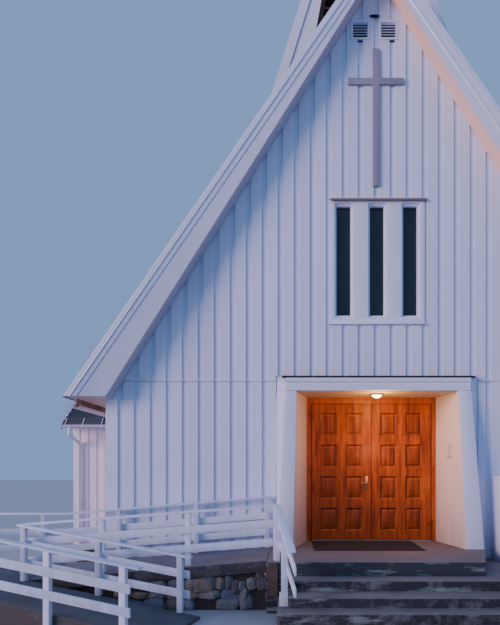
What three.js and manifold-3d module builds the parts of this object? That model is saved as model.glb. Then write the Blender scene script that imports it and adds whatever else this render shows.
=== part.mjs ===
// A modern timber church: steep gabled nave, low wings, ridge turret, battered doorway, steps and ramp.
// Millimetres, +Z up, the front faces -Y. Y is first measured back from the front cladding face, and the
// whole church is then moved so that the origin lies on the ground under the middle of the front wall.
import * as THREE from 'three';
import { mergeVertices } from 'three/addons/utils/BufferGeometryUtils.js';
import Module from 'manifold-3d';

const wasm = await Module();
wasm.setup();

// Seat between pieces that are cut by one another
const GAP = 0.3;

// Nave
const FLOOR = 640;
const WALL = 250;
const NAVE_HALF = 4030;
const NAVE_LENGTH = 15000;
const NAVE_INNER = NAVE_HALF - WALL;
const FOOTING_TOP = 380;
const FOOTING_WIDTH = 380;
const FOOTING_INSET = 30;

// Main roof: rise over run, level cut of the eaves, and depths measured straight down
const RISE = 1.45;
const EAVE_HALF = 4570;
const EAVE_LEVEL = 2845;
const RIDGE = EAVE_LEVEL + RISE * EAVE_HALF;
const ROOF_DEPTH = 317;
const GABLE_OVERHANG = 320;
const VERGE_DEPTH = 146;
const TRIM_DEPTH = 276;
const BARGE_DEPTH_TOP = 335;
const BARGE_FOOT_HALF = 3966;
const VERGE_STANDOUT = 68;
const TRIM_STANDOUT = 55;
const BARGE_STANDOUT = 40;

// Rain gutters: half round, with a back leg that rises into the eave
const GUTTER_SKIN = 7;
const MAIN_GUTTER_RADIUS = 60;
const MAIN_GUTTER_HALF = 4500;
const MAIN_GUTTER_LEVEL = 2753;
const MAIN_GUTTER_BACK = 110;
const WING_GUTTER_RADIUS = 46;
const WING_GUTTER_BACK = 6;
const ARC_STEPS = 8;

// Wings, one on each side
const WING_FRONT = 2670;
const WING_BACK = 5470;
const WING_MIDDLE = (WING_FRONT + WING_BACK) / 2;
const WING_HALF = 5400;
const WING_WALL = 200;
const WING_RIDGE = 4407;
const WING_EAVE_EDGE = 36;
const WING_EAVE_RUN = 1800;
const WING_ROOF_DEPTH = 200;
const WING_VERGE_HALF = 5520;
const WING_ROOF_START = NAVE_HALF - 2 * WALL - WING_WALL;
const PASSAGE_HEAD = 2900;

// Turret astride the ridge
const TOWER_FRONT = 950;
const TOWER_LENGTH = 2600;
const TOWER_HALF = 1090;
const TOWER_HALF_LEVEL = 9440;
const TOWER_RISE = 3.2;
const TOWER_APEX = TOWER_HALF_LEVEL + TOWER_HALF * TOWER_RISE;
const TOWER_SKIN = 60;
const BELFRY_HALF = 877;
const BELFRY_HALF_LEVEL = 9000;
const BELFRY_LEAN = 0.186;
const BELFRY_HEAD = 10890;
const LOUVRE_PITCH = 150;
const LOUVRE_STILE = 70;
const LOUVRE_INSET = 10;
const LOUVRE_REACH = 100;
const LOUVRE_THICKNESS = 20;
const FINIAL_RISE = 950;
const FINIAL_ARM_LEVEL = 670;
const FINIAL_ARM_HALF = 240;
const FINIAL_BAR = 40;
const FINIAL_SADDLE_HALF = 80;

// Doorway surround: leaning face, splayed cheeks, and the door plane behind it
const PORTAL_SPRING = 2312;
const PORTAL_TOP = 2470;
const PORTAL_CROWN = 33;
const PORTAL_OUT_FOOT = 1490;
const PORTAL_OUT_TOP = 1366;
const PORTAL_LEAN_FOOT = 400;
const PORTAL_LEAN_TOP = 128;
const PORTAL_SIDE = 1506;
const PORTAL_IN_FRONT = { left: 1258, right: 1225 };
const PORTAL_IN_BACK = 1035;
const PORTAL_LINING = 120;
const DOOR_PLANE = 690;
const FLASHING_HALF = 1428;
const FLASHING_THICKNESS = 22;
const FLASHING_REACH = 165;

// Door
const FRAME_DEPTH = 110;
const FRAME_HEAD = 2400;
const STOP_DEPTH = 51;
const STOP_COVER = 23;
const DOOR_HALF = 953;
const DOOR_CLEAR = 6;
const DOOR_THICKNESS = 45;
const DOOR_FOOT = 24;
const DOOR_HEAD = 2194;
const THRESHOLD_HEIGHT = 18;
const HINGE_RADIUS = 10;
const HINGE_PLATE = 32;
const HINGE_KNUCKLE = 45;
const HINGE_LEVELS = [250, 1100, 1950];
const PANEL_ROWS = 4;
const PANEL_COLUMNS = 2;
const DOOR_STILE = 138;
const DOOR_RAIL = 141;
const PANEL_SINK = 14;
const PANEL_MARGIN = 45;

// Handle: back plate, stem and lever
const HANDLE_LEVEL = 930;
const HANDLE_PLATE_HALF = 20;
const HANDLE_PLATE_RISE = 105;
const HANDLE_PLATE_THICKNESS = 6;
const HANDLE_BAR_HALF = 9;
const HANDLE_STEM = 50;
const HANDLE_LEVER = 92;

// Front window group, vents and cross, levels above the floor
const CASING_HALF = 710;
const CASING_FOOT = 3330;
const CASING_HEAD = 5180;
const CASING_STANDOUT = 30;
const CASING_EDGE = 45;
const SLIT_PITCH = 500;
const SLIT_HALF = 106.5;
const SLIT_FOOT = 3454;
const SLIT_HEAD = 5097;
const SASH = 30;
const SASH_SETBACK = 15;
const SILL_REACH = 20;
const WINDOW_DEPTH = 95;
const GLASS = 24;
const VENTS_MIDDLE = -43;
const VENT_NEAR = 88;
const VENT_FAR = 332;
const VENT_FOOT = 7587;
const VENT_HEAD = 7839;
const VENT_CASING = 20;
const VENT_RIM = 12;
const VENT_BLADE_FRONT = 4 - CASING_STANDOUT;
const VENT_BLADE_BACK = 30;
const VENT_BLADE_RISE = 28;
const VENT_BLADE_THICKNESS = 8;
const VENT_BLADES = 6;
const CROSS_FOOT = 5370;
const CROSS_HEAD = 7415;
const CROSS_MIDDLE = -20;
const CROSS_BAR = 102;
const CROSS_ARM_LEVEL = 6930;
const CROSS_ARM_HEIGHT = 98;
const CROSS_ARM_HALF = 415;
const CROSS_STANDOUT = 60;
const LAMP_RADIUS = 88;
const LAMP_DROP = 80;
const LAMP_Y = 150;
const LAMP_X = 17;

// Windows of the hidden sides: the same slits in groups of three, levels above the floor
const SIDE_WINDOW_HALF = 660;
const SIDE_WINDOW_FOOT = 850;
const SIDE_WINDOW_HEAD = 2000;
const SIDE_WINDOW_FIRST = 7200;
const SIDE_WINDOW_PITCH = 2850;
const SIDE_WINDOW_COUNT = 3;
const WING_WINDOW_HALF = 420;
const GLASS_SHEET = 8;
const GLASS_COVER = 90;

// Platform and steps: the top slab narrows to the front, the flight runs on to its right,
// and a low pad beside the flight carries the foot of the stair railing
const PLATFORM_LEFT = -1600;
const PLATFORM_FRONT = -1640;
const PLATFORM_PLAN = [[PLATFORM_LEFT, PLATFORM_FRONT], [1134, PLATFORM_FRONT], [1500, -420], [1560, 0],
  [PLATFORM_LEFT, 0]];
const STEPS_LEFT = -1325;
const STEPS_RIGHT = 2650;
const STEP_LEVELS = [465, 335, 210, 85];
const STEP_EDGES = [-2000, -2370, -2628, -2890];
const STEPS_BASE = STEP_LEVELS[0];
const PAD_LEFT = -1450;
const PAD_TOP = STEP_LEVELS[2];
const PAD_FRONT = STEP_EDGES[2];

// Low white cabinet beside the doorway
const CABINET_LEFT = 1705;
const CABINET_RIGHT = 2505;
const CABINET_DEPTH = 560;
const CABINET_HEAD = 1690;
const CABINET_LID = 28;
const CABINET_LIP = 20;

// Ramp: a long upper leg, a landing, and a lower leg that doubles back
const RAMP_SLAB = 150;
const RAMP_BACK = -50;
const RAMP_FRONT = -1500;
const LANDING_RIGHT = -4600;
const LANDING_LEFT = -6150;
const LANDING_TOP = 395;
const BASE_INSET = 60;
const LOWER_END = -2380;
const LOWER_END_TOP = 30;

// Railings
const RAIL_TOP = 705;
const WALL_RAIL_TOP = 755;
const RAIL_CAP = 28;
const RAIL_CAP_HALF = 47;
const RAIL_BOARD = 96;
const RAIL_BOARD_THICKNESS = 24;
const RAIL_BOARD_LEVELS = [228, 468];
const POST = 68;
const POST_REACH = POST / 2 + 9;
const LET_IN = 4;

// Lines of the railings in plan: by the wall, along the upper leg's front, and both sides of the lower
const WALL_RAIL_Y = -150;
const FRONT_RAIL_Y = -1400;
const RAIL_CORNER = -4710;
const END_RAIL = LANDING_LEFT + 90;
const RETURN_START = [-4667, -1575];
const RETURN_END = [-2650, -1930];
const OUTER_START = [RAIL_CORNER, -2720];
const OUTER_END = [-3044, -3110];
const LANDING_FRONT = OUTER_START[1] + POST / 2 + GAP;
const DECK_CLEAR = 15;
const STAIR_RAIL_TOP = [-1475, -1495];
const STAIR_RAIL_FOOT = [-1288, -2600];
const STAIR_RAIL_LEVEL = 200;
const STAIR_BOOT = [[-1428, -2222], [-1329, -2142]];
const STAIR_BOOT_HEAD = 369;

// Posts along each railing, measured from its start
const WALL_RAIL_POSTS = [0, 1038, 2180];
const WALL_LANDING_POSTS = [330, 1400];
const FRONT_RAIL_POSTS = [0, 1125, 2222, 3225];
const RETURN_POSTS = [28, 1028, 2076];
const LANDING_RAIL_POSTS = [0, 1290];
const OUTER_POSTS = [888, 1754];
const END_POSTS = [640, 1720];
const STAIR_POSTS = [34, 626];

// Closed meshes to solids and back
function solidOf(geometry) {
  const bare = geometry.clone();
  bare.deleteAttribute('normal');
  bare.deleteAttribute('uv');
  const merged = mergeVertices(bare, 1e-3);
  const vertProperties = Float32Array.from(merged.attributes.position.array);
  const triVerts = Uint32Array.from(merged.index.array);
  return new wasm.Manifold(new wasm.Mesh({ numProp: 3, vertProperties, triVerts }));
}

function geometryOf(solid) {
  const mesh = solid.getMesh();
  const geometry = new THREE.BufferGeometry();
  geometry.setAttribute('position', new THREE.BufferAttribute(Float32Array.from(mesh.vertProperties), 3));
  geometry.setIndex(new THREE.BufferAttribute(Uint32Array.from(mesh.triVerts), 1));
  geometry.computeVertexNormals();
  return geometry;
}

function join(geometries) {
  return geometryOf(geometries.map(solidOf).reduce((whole, next) => whole.add(next)));
}

function cut(geometry, cutters) {
  return geometryOf(cutters.map(solidOf).reduce((left, next) => left.subtract(next), solidOf(geometry)));
}

// Plain shapes
function box(x0, x1, y0, y1, z0, z1) {
  const geometry = new THREE.BoxGeometry(Math.abs(x1 - x0), Math.abs(y1 - y0), Math.abs(z1 - z0));
  return geometry.translate((x0 + x1) / 2, (y0 + y1) / 2, (z0 + z1) / 2);
}

function extruded(points, length) {
  const shape = new THREE.Shape(points.map(([u, v]) => new THREE.Vector2(u, v)));
  return new THREE.ExtrudeGeometry(shape, { depth: length, bevelEnabled: false });
}

// A plan outline (x, y) raised from z0 to z1
function raised(points, z0, z1) {
  return extruded(points, z1 - z0).translate(0, 0, z0);
}

// A front outline (x, z) run back from y0 to y1, with holes right through it
function alongY(points, y0, y1, holes = []) {
  const whole = extruded(points, y1 - y0).rotateX(Math.PI / 2).translate(0, y1, 0);
  return holes.length ? cut(whole, holes.map((hole) => alongY(hole, y0 - 1, y1 + 1))) : whole;
}

// A side outline (y, z) run across from x0 to x1
function alongX(points, x0, x1) {
  const turn = new THREE.Matrix4().makeBasis(
    new THREE.Vector3(0, 1, 0), new THREE.Vector3(0, 0, 1), new THREE.Vector3(1, 0, 0));
  return extruded(points, Math.abs(x1 - x0)).applyMatrix4(turn).translate(Math.min(x0, x1), 0, 0);
}

// A plan outline whose top and bottom follow the given levels
function deck(plan, topAt, bottomAt) {
  const geometry = raised(plan, 0, 1);
  const position = geometry.attributes.position;
  for (let i = 0; i < position.count; i += 1) {
    const level = position.getZ(i) > 0.5 ? topAt : bottomAt;
    position.setZ(i, level(position.getX(i), position.getY(i)));
  }
  return geometry;
}

// A solid between two plan outlines of as many points
function leaning(foot, head, z0, z1) {
  const geometry = raised(foot, z0, z1);
  const position = geometry.attributes.position;
  const middle = (z0 + z1) / 2;
  for (let i = 0; i < position.count; i += 1) {
    if (position.getZ(i) < middle) continue;
    const match = foot.findIndex(([x, y]) => Math.hypot(x - position.getX(i), y - position.getY(i)) < 0.5);
    position.setXY(i, head[match][0], head[match][1]);
  }
  return geometry;
}

function rectangle(u0, u1, v0, v1) {
  return [[u0, v0], [u1, v0], [u1, v1], [u0, v1]];
}

function mirrored(points, side) {
  return points.map(([x, v]) => [side * x, v]);
}

// Named meshes
const church = new THREE.Group();
church.position.set(0, -WALL / 2, 0);

const FINISHES = {
  white_paint: { color: 0xdfe2ee, roughness: 0.55 },
  slate: { color: 0x232a33, roughness: 0.7 },
  concrete: { color: 0x8b8683, roughness: 0.9 },
  stone: { color: 0x7d7a7a, roughness: 0.95 },
  floor_timber: { color: 0x9a7a55, roughness: 0.6 },
  door_timber: { color: 0xb9541c, roughness: 0.35 },
  louvre_timber: { color: 0x8a5a3a, roughness: 0.6 },
  brass: { color: 0xc9a04a, roughness: 0.3, metalness: 1 },
  glass: { color: 0x1c2733, roughness: 0.05 },
  lamp: { color: 0xfff0c8, roughness: 0.3 },
  cross_paint: { color: 0xa9a9bd, roughness: 0.5 },
  flashing: { color: 0x2b2d33, roughness: 0.5, metalness: 0.6 },
  threshold: { color: 0xb9b3a8, roughness: 0.5, metalness: 0.4 },
};

function add(name, geometry, finish) {
  const mesh = new THREE.Mesh(geometry, new THREE.MeshStandardMaterial(FINISHES[finish]));
  mesh.name = name;
  church.add(mesh);
}

// Levels of the main roof at a distance from the centre line
const roofTop = (x) => RIDGE - RISE * Math.abs(x);
const roofUnder = (x) => roofTop(x) - ROOF_DEPTH;
const wingTop = (y) => WING_RIDGE - Math.abs(y - WING_MIDDLE);
const wingUnder = (y) => wingTop(y) - WING_ROOF_DEPTH;
const sides = [['left', -1], ['right', 1]];

// Ring of concrete under the nave and the wings
function foundation() {
  const face = FOOTING_INSET;
  const wide = FOOTING_WIDTH;
  const outer = NAVE_HALF - face;
  const inner = outer - wide;
  const wingOuter = WING_HALF - face;
  const back = NAVE_LENGTH - face;
  const ring = box(-outer, outer, face, back, 0, FOOTING_TOP);
  const room = box(-inner, inner, face + wide, back - wide, -1, FOOTING_TOP + 1);
  const wings = box(-wingOuter, wingOuter, WING_FRONT + face, WING_BACK - face, 0, FOOTING_TOP);
  const wingRooms = sides.map(([, side]) => box(
    side * outer, side * (wingOuter - wide),
    WING_FRONT + face + wide, WING_BACK - face - wide, -1, FOOTING_TOP + 1));
  add('foundation', cut(join([ring, wings]), [room, ...wingRooms]), 'concrete');
}

// Floor of the nave and the wings, notched round the porch slab
function floors() {
  const porchBack = DOOR_PLANE + FRAME_DEPTH;
  const outline = [
    [PORTAL_SIDE, WALL], [NAVE_INNER, WALL], [NAVE_INNER, WING_FRONT + WING_WALL],
    [WING_HALF - WING_WALL, WING_FRONT + WING_WALL], [WING_HALF - WING_WALL, WING_BACK - WING_WALL],
    [NAVE_INNER, WING_BACK - WING_WALL], [NAVE_INNER, NAVE_LENGTH - WALL],
  ];
  const whole = [
    [-PORTAL_SIDE, porchBack], [PORTAL_SIDE, porchBack], ...outline, ...mirrored(outline, -1).reverse()];
  add('floor', raised(whole, FOOTING_TOP, FLOOR), 'floor_timber');
  add('porch_floor', box(-PORTAL_SIDE, PORTAL_SIDE, 0, porchBack, FOOTING_TOP, FLOOR), 'concrete');
}

// Front wall beside the doorway, and the gable over it
function frontWalls() {
  const head = FLOOR + PORTAL_TOP;
  for (const [name, side] of sides) {
    const wall = box(side * PORTAL_SIDE, side * NAVE_HALF, 0, WALL, FOOTING_TOP, head);
    add(`front_wall_${name}`, wall, 'white_paint');
  }
  const top = (x) => roofUnder(x) - GAP;
  const outline = [[-NAVE_HALF, head], [NAVE_HALF, head], [NAVE_HALF, top(NAVE_HALF)], [0, top(0)],
    [-NAVE_HALF, top(NAVE_HALF)]];
  const windowHole = rectangle(-windowOpening(), windowOpening(), FLOOR + CASING_FOOT + CASING_EDGE,
    FLOOR + CASING_HEAD - CASING_EDGE);
  const vents = sides.map(([, side]) => rectangle(VENTS_MIDDLE + side * VENT_NEAR,
    VENTS_MIDDLE + side * VENT_FAR, FLOOR + VENT_FOOT, FLOOR + VENT_HEAD));
  add('front_gable', alongY(outline, 0, WALL, [windowHole, ...vents]), 'white_paint');
}

function windowOpening() {
  return CASING_HALF - CASING_EDGE;
}

// Back wall with the same window group as the front
function backWall() {
  const top = (x) => roofUnder(x) - GAP;
  const outline = [[-NAVE_HALF, FOOTING_TOP], [NAVE_HALF, FOOTING_TOP], [NAVE_HALF, top(NAVE_HALF)],
    [0, top(0)], [-NAVE_HALF, top(NAVE_HALF)]];
  const foot = FLOOR + SLIT_FOOT - SASH;
  const head = FLOOR + SLIT_HEAD + SASH;
  const slits = [-1, 0, 1].map((n) => rectangle(
    n * SLIT_PITCH - SLIT_HALF - SASH, n * SLIT_PITCH + SLIT_HALF + SASH, foot, head));
  add('back_wall', alongY(outline, NAVE_LENGTH - WALL, NAVE_LENGTH, slits), 'white_paint');
  const sheetHalf = SLIT_PITCH + SLIT_HALF + SASH + GLASS_COVER;
  const inner = NAVE_LENGTH - WALL;
  add('back_window_glass', box(-sheetHalf, sheetHalf, inner - GLASS_SHEET, inner - GAP,
    foot - GLASS_COVER, head + GLASS_COVER), 'glass');
}

// Long walls, open to the wings, with groups of slits behind them
function sideWalls() {
  const windows = Array.from({ length: SIDE_WINDOW_COUNT });
  const windowYs = windows.map((_, n) => SIDE_WINDOW_FIRST + n * SIDE_WINDOW_PITCH);
  const foot = FLOOR + SIDE_WINDOW_FOOT;
  const head = FLOOR + SIDE_WINDOW_HEAD;
  for (const [name, side] of sides) {
    const profile = mirrored([[NAVE_HALF, FOOTING_TOP], [NAVE_HALF, roofUnder(NAVE_HALF) - GAP],
      [NAVE_INNER, roofUnder(NAVE_INNER) - GAP], [NAVE_INNER, FOOTING_TOP]], side);
    const wall = alongY(profile, WALL, NAVE_LENGTH - WALL);
    const reach = [side * (NAVE_INNER - WALL), side * (NAVE_HALF + WALL)];
    const passage = box(...reach, WING_FRONT + WING_WALL, WING_BACK - WING_WALL, 0, PASSAGE_HEAD);
    const slits = windowYs.flatMap((y) => slitOffsets().map((offset) => box(
      ...reach, y + offset - SLIT_HALF - SASH, y + offset + SLIT_HALF + SASH, foot, head)));
    add(`side_wall_${name}`, cut(wall, [passage, ...slits]), 'white_paint');
    add(`side_glass_${name}`, box(side * (NAVE_INNER - GLASS_SHEET), side * (NAVE_INNER - GAP),
      SIDE_WINDOW_FIRST - SIDE_WINDOW_HALF - GLASS_COVER,
      windowYs[SIDE_WINDOW_COUNT - 1] + SIDE_WINDOW_HALF + GLASS_COVER,
      foot - GLASS_COVER, head + GLASS_COVER), 'glass');
  }
}

function slitOffsets() {
  return [-SLIT_PITCH, 0, SLIT_PITCH];
}

// Three walls of each wing, with two slits in the end wall
function wings() {
  const foot = FLOOR + SIDE_WINDOW_FOOT;
  const head = FLOOR + SIDE_WINDOW_HEAD;
  const top = (y) => wingUnder(y) - GAP;
  const outline = [[WING_FRONT, FOOTING_TOP], [WING_BACK, FOOTING_TOP], [WING_BACK, top(WING_BACK)],
    [WING_MIDDLE, top(WING_MIDDLE)], [WING_FRONT, top(WING_FRONT)]];
  const reach = SLIT_HALF + SASH;
  for (const [name, side] of sides) {
    const block = alongX(outline, side * NAVE_HALF, side * WING_HALF);
    const room = box(side * (NAVE_HALF - WALL), side * (WING_HALF - WING_WALL),
      WING_FRONT + WING_WALL, WING_BACK - WING_WALL, 0, WING_RIDGE);
    const middles = [-1, 1].map((n) => WING_MIDDLE + n * SLIT_PITCH / 2);
    const slits = middles.map((y) => box(side * NAVE_HALF, side * (WING_HALF + WALL),
      y - reach, y + reach, foot, head));
    add(`wing_walls_${name}`, cut(block, [room, ...slits]), 'white_paint');
    const inner = WING_HALF - WING_WALL;
    add(`wing_glass_${name}`, box(side * (inner - GLASS_SHEET), side * (inner - GAP),
      WING_MIDDLE - WING_WINDOW_HALF - GLASS_COVER, WING_MIDDLE + WING_WINDOW_HALF + GLASS_COVER,
      foot - GLASS_COVER, head + GLASS_COVER), 'glass');
    add(`wing_roof_${name}`, wingRoof(side), 'slate');
  }
}

// Half-round trough: u grows away from the wall, and the back leg rises into the eave
function gutterOutline(u, v, away, outer, back) {
  const inner = outer - GUTTER_SKIN;
  const arc = (radius, from, to) => Array.from({ length: ARC_STEPS + 1 }, (_, n) => {
    const angle = from + (to - from) * n / ARC_STEPS;
    return [u + away * radius * Math.cos(angle), v + radius * Math.sin(angle)];
  });
  return [[u - away * outer, v + back], ...arc(outer, Math.PI, 2 * Math.PI),
    ...arc(inner, 2 * Math.PI, Math.PI), [u - away * inner, v + back]];
}

// Roof slabs with their gutters; the gable overhangs are boxed in down to the barge boards
function mainRoof() {
  const start = -GABLE_OVERHANG;
  const end = NAVE_LENGTH + GABLE_OVERHANG;
  const wall = NAVE_HALF + GAP;
  const underWing = [[WING_MIDDLE - 2 * WING_EAVE_RUN, 0], [WING_MIDDLE + 2 * WING_EAVE_RUN, 0],
    [WING_MIDDLE + 2 * WING_EAVE_RUN, wingTop(WING_MIDDLE + 2 * WING_EAVE_RUN) + 2 * GAP],
    [WING_MIDDLE, WING_RIDGE + 2 * GAP],
    [WING_MIDDLE - 2 * WING_EAVE_RUN, wingTop(WING_MIDDLE - 2 * WING_EAVE_RUN) + 2 * GAP]];
  for (const [name, side] of sides) {
    const slab = mirrored([[0, RIDGE], [EAVE_HALF, EAVE_LEVEL], [wall, EAVE_LEVEL],
      [wall, roofUnder(wall)], [0, roofUnder(0)]], side);
    const boxed = mirrored([[0, RIDGE], [EAVE_HALF, EAVE_LEVEL], [BARGE_FOOT_HALF, EAVE_LEVEL],
      [0, RIDGE - BARGE_DEPTH_TOP]], side);
    const gutter = gutterOutline(side * MAIN_GUTTER_HALF, MAIN_GUTTER_LEVEL, side,
      MAIN_GUTTER_RADIUS, MAIN_GUTTER_BACK);
    const roof = join([alongY(slab, start, end), alongY(gutter, 0, NAVE_LENGTH),
      alongY(boxed, start, -GAP), alongY(boxed, NAVE_LENGTH + GAP, end)]);
    const clear = alongX(underWing, side * (NAVE_HALF - GAP), side * (WING_HALF + WALL));
    add(`main_roof_${name}`, cut(roof, [clear]), 'slate');
  }
}

function wingRoof(side) {
  const front = WING_MIDDLE - WING_EAVE_RUN;
  const back = WING_MIDDLE + WING_EAVE_RUN;
  const eave = wingTop(front);
  const soffit = eave - WING_EAVE_EDGE;
  const inside = WING_FRONT - GAP;
  const outside = WING_BACK + GAP;
  const slab = [[front, eave], [front, soffit], [inside, soffit], [inside, wingUnder(inside)],
    [WING_MIDDLE, wingUnder(WING_MIDDLE)], [outside, wingUnder(outside)], [outside, soffit],
    [back, soffit], [back, eave], [WING_MIDDLE, WING_RIDGE]];
  const gutters = [[front, -1], [back, 1]].map(([y, away]) => alongX(
    gutterOutline(y + away * (WING_GUTTER_RADIUS - GUTTER_SKIN), eave - WING_GUTTER_BACK / 2, away,
      WING_GUTTER_RADIUS, WING_GUTTER_BACK),
    side * (NAVE_HALF + 2 * GAP), side * WING_VERGE_HALF));
  const roof = join([alongX(slab, side * WING_ROOF_START, side * WING_VERGE_HALF), ...gutters]);
  const nave = mirrored([[0, 0], [NAVE_HALF + GAP, 0], [NAVE_HALF + GAP, roofTop(NAVE_HALF) + GAP],
    [0, RIDGE + 2 * GAP]], side);
  return cut(roof, [alongY(nave, 0, NAVE_LENGTH)]);
}

// Verge, trim and tapered barge board in one chevron for each gable, cut level at the eaves
function bargeboards(name, plane, away) {
  const chevron = (outerDepth, innerDepth, footHalf, innerFootHalf, standout) => {
    const half = [[footHalf, EAVE_LEVEL], [0, RIDGE - outerDepth]];
    const outline = [...half, ...mirrored(half.slice(0, 1), -1), [-innerFootHalf, EAVE_LEVEL],
      [0, RIDGE - innerDepth], [innerFootHalf, EAVE_LEVEL]];
    const near = plane + away * standout;
    return alongY(outline, Math.min(plane, near), Math.max(plane, near));
  };
  const footAt = (depth) => EAVE_HALF - depth / RISE;
  const trimTop = VERGE_DEPTH - LET_IN;
  const bargeTop = TRIM_DEPTH - LET_IN;
  add(name, join([
    chevron(0, VERGE_DEPTH, EAVE_HALF, footAt(VERGE_DEPTH), VERGE_STANDOUT),
    chevron(trimTop, TRIM_DEPTH, footAt(trimTop), footAt(TRIM_DEPTH), TRIM_STANDOUT),
    chevron(bargeTop, BARGE_DEPTH_TOP, footAt(bargeTop), BARGE_FOOT_HALF, BARGE_STANDOUT),
  ]), 'white_paint');
}

// Turret: where a steep side line of half width `half` at TOWER_HALF_LEVEL meets the main roof
function towerFoot(half) {
  const x = (half + (TOWER_HALF_LEVEL - RIDGE) / TOWER_RISE) / (1 - RISE / TOWER_RISE);
  return [x, roofTop(x) + 2 * GAP];
}

function belfryHalf(z) {
  return BELFRY_HALF + (BELFRY_HALF_LEVEL - z) * BELFRY_LEAN;
}

function belfryFoot() {
  const x = (BELFRY_HALF + (BELFRY_HALF_LEVEL - RIDGE) * BELFRY_LEAN) / (1 - RISE * BELFRY_LEAN);
  return [x, roofTop(x) + 2 * GAP];
}

function tower() {
  const foot = towerFoot(TOWER_HALF);
  const opening = belfryFoot();
  const half = [foot, [0, TOWER_APEX]];
  const face = [...half, [-foot[0], foot[1]], [-opening[0], opening[1]],
    [-belfryHalf(BELFRY_HEAD), BELFRY_HEAD], [belfryHalf(BELFRY_HEAD), BELFRY_HEAD], opening];
  const back = TOWER_FRONT + TOWER_LENGTH;
  add('tower_front', alongY(face, TOWER_FRONT, TOWER_FRONT + TOWER_SKIN), 'white_paint');
  add('tower_back', alongY(face, back - TOWER_SKIN, back), 'white_paint');
  const innerFoot = towerFoot(TOWER_HALF - TOWER_SKIN);
  for (const [name, side] of sides) {
    const innerApex = [0, TOWER_APEX - TOWER_SKIN * TOWER_RISE];
    const skin = mirrored([foot, [0, TOWER_APEX], innerApex, innerFoot], side);
    add(`tower_side_${name}`, alongY(skin, TOWER_FRONT + TOWER_SKIN, back - TOWER_SKIN), 'slate');
  }
  louvres('tower_louvres_front', TOWER_FRONT + TOWER_SKIN, 1);
  louvres('tower_louvres_back', back - TOWER_SKIN, -1);
  towerCross();
}

// Battered stiles, a head and sloping blades behind each belfry opening, cut to the roof they stand on
function louvres(name, plane, inward) {
  const [footX, footZ] = belfryFoot();
  const head = BELFRY_HEAD + LOUVRE_STILE / 2;
  const outline = [[footX, footZ], [belfryHalf(head), head], [-belfryHalf(head), head], [-footX, footZ],
    [-(footX - LOUVRE_STILE), roofTop(footX - LOUVRE_STILE) + 2 * GAP],
    [-(belfryHalf(head) - LOUVRE_STILE), head - LOUVRE_STILE],
    [belfryHalf(head) - LOUVRE_STILE, head - LOUVRE_STILE],
    [footX - LOUVRE_STILE, roofTop(footX - LOUVRE_STILE) + 2 * GAP]];
  const far = plane + inward * 2 * TOWER_SKIN;
  const ring = alongY(outline, Math.min(plane, far), Math.max(plane, far));
  const blades = [];
  for (let z = footZ; z < head - LOUVRE_PITCH; z += LOUVRE_PITCH) {
    const reach = belfryHalf(z) - LOUVRE_STILE / 2;
    const outer = plane + inward * LOUVRE_INSET;
    const inner = outer + inward * LOUVRE_REACH;
    const rise = z + LOUVRE_REACH - LOUVRE_INSET;
    const section = [[outer, z], [outer, z + LOUVRE_THICKNESS],
      [inner, rise + LOUVRE_THICKNESS], [inner, rise]];
    blades.push(alongX(section, -reach, reach));
  }
  const wide = 2 * footX;
  const roof = [[-wide, roofTop(wide)], [-wide, 0], [wide, 0], [wide, roofTop(wide)], [0, RIDGE]]
    .map(([x, z]) => [x, z + 2 * GAP]);
  const roofBlock = alongY(roof, TOWER_FRONT, TOWER_FRONT + TOWER_LENGTH);
  add(name, cut(join([ring, ...blades]), [roofBlock]), 'louvre_timber');
}

function towerCross() {
  const y = TOWER_FRONT + TOWER_SKIN / 2;
  const half = FINIAL_SADDLE_HALF;
  const bar = FINIAL_BAR / 2;
  const arm = TOWER_APEX + FINIAL_ARM_LEVEL;
  const ridgeAt = (x) => TOWER_APEX - Math.abs(x) * TOWER_RISE;
  const saddle = [[half, ridgeAt(half) + FINIAL_BAR], [0, TOWER_APEX + FINIAL_BAR],
    [-half, ridgeAt(half) + FINIAL_BAR], [-half, ridgeAt(half) + GAP],
    [0, TOWER_APEX + GAP], [half, ridgeAt(half) + GAP]];
  add('tower_cross', join([
    alongY(saddle, y - half, y + half),
    box(-bar, bar, y - bar, y + bar, TOWER_APEX + LET_IN, TOWER_APEX + FINIAL_RISE),
    box(-FINIAL_ARM_HALF, FINIAL_ARM_HALF, y - bar, y + bar, arm, arm + FINIAL_BAR),
  ]), 'flashing');
}

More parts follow.
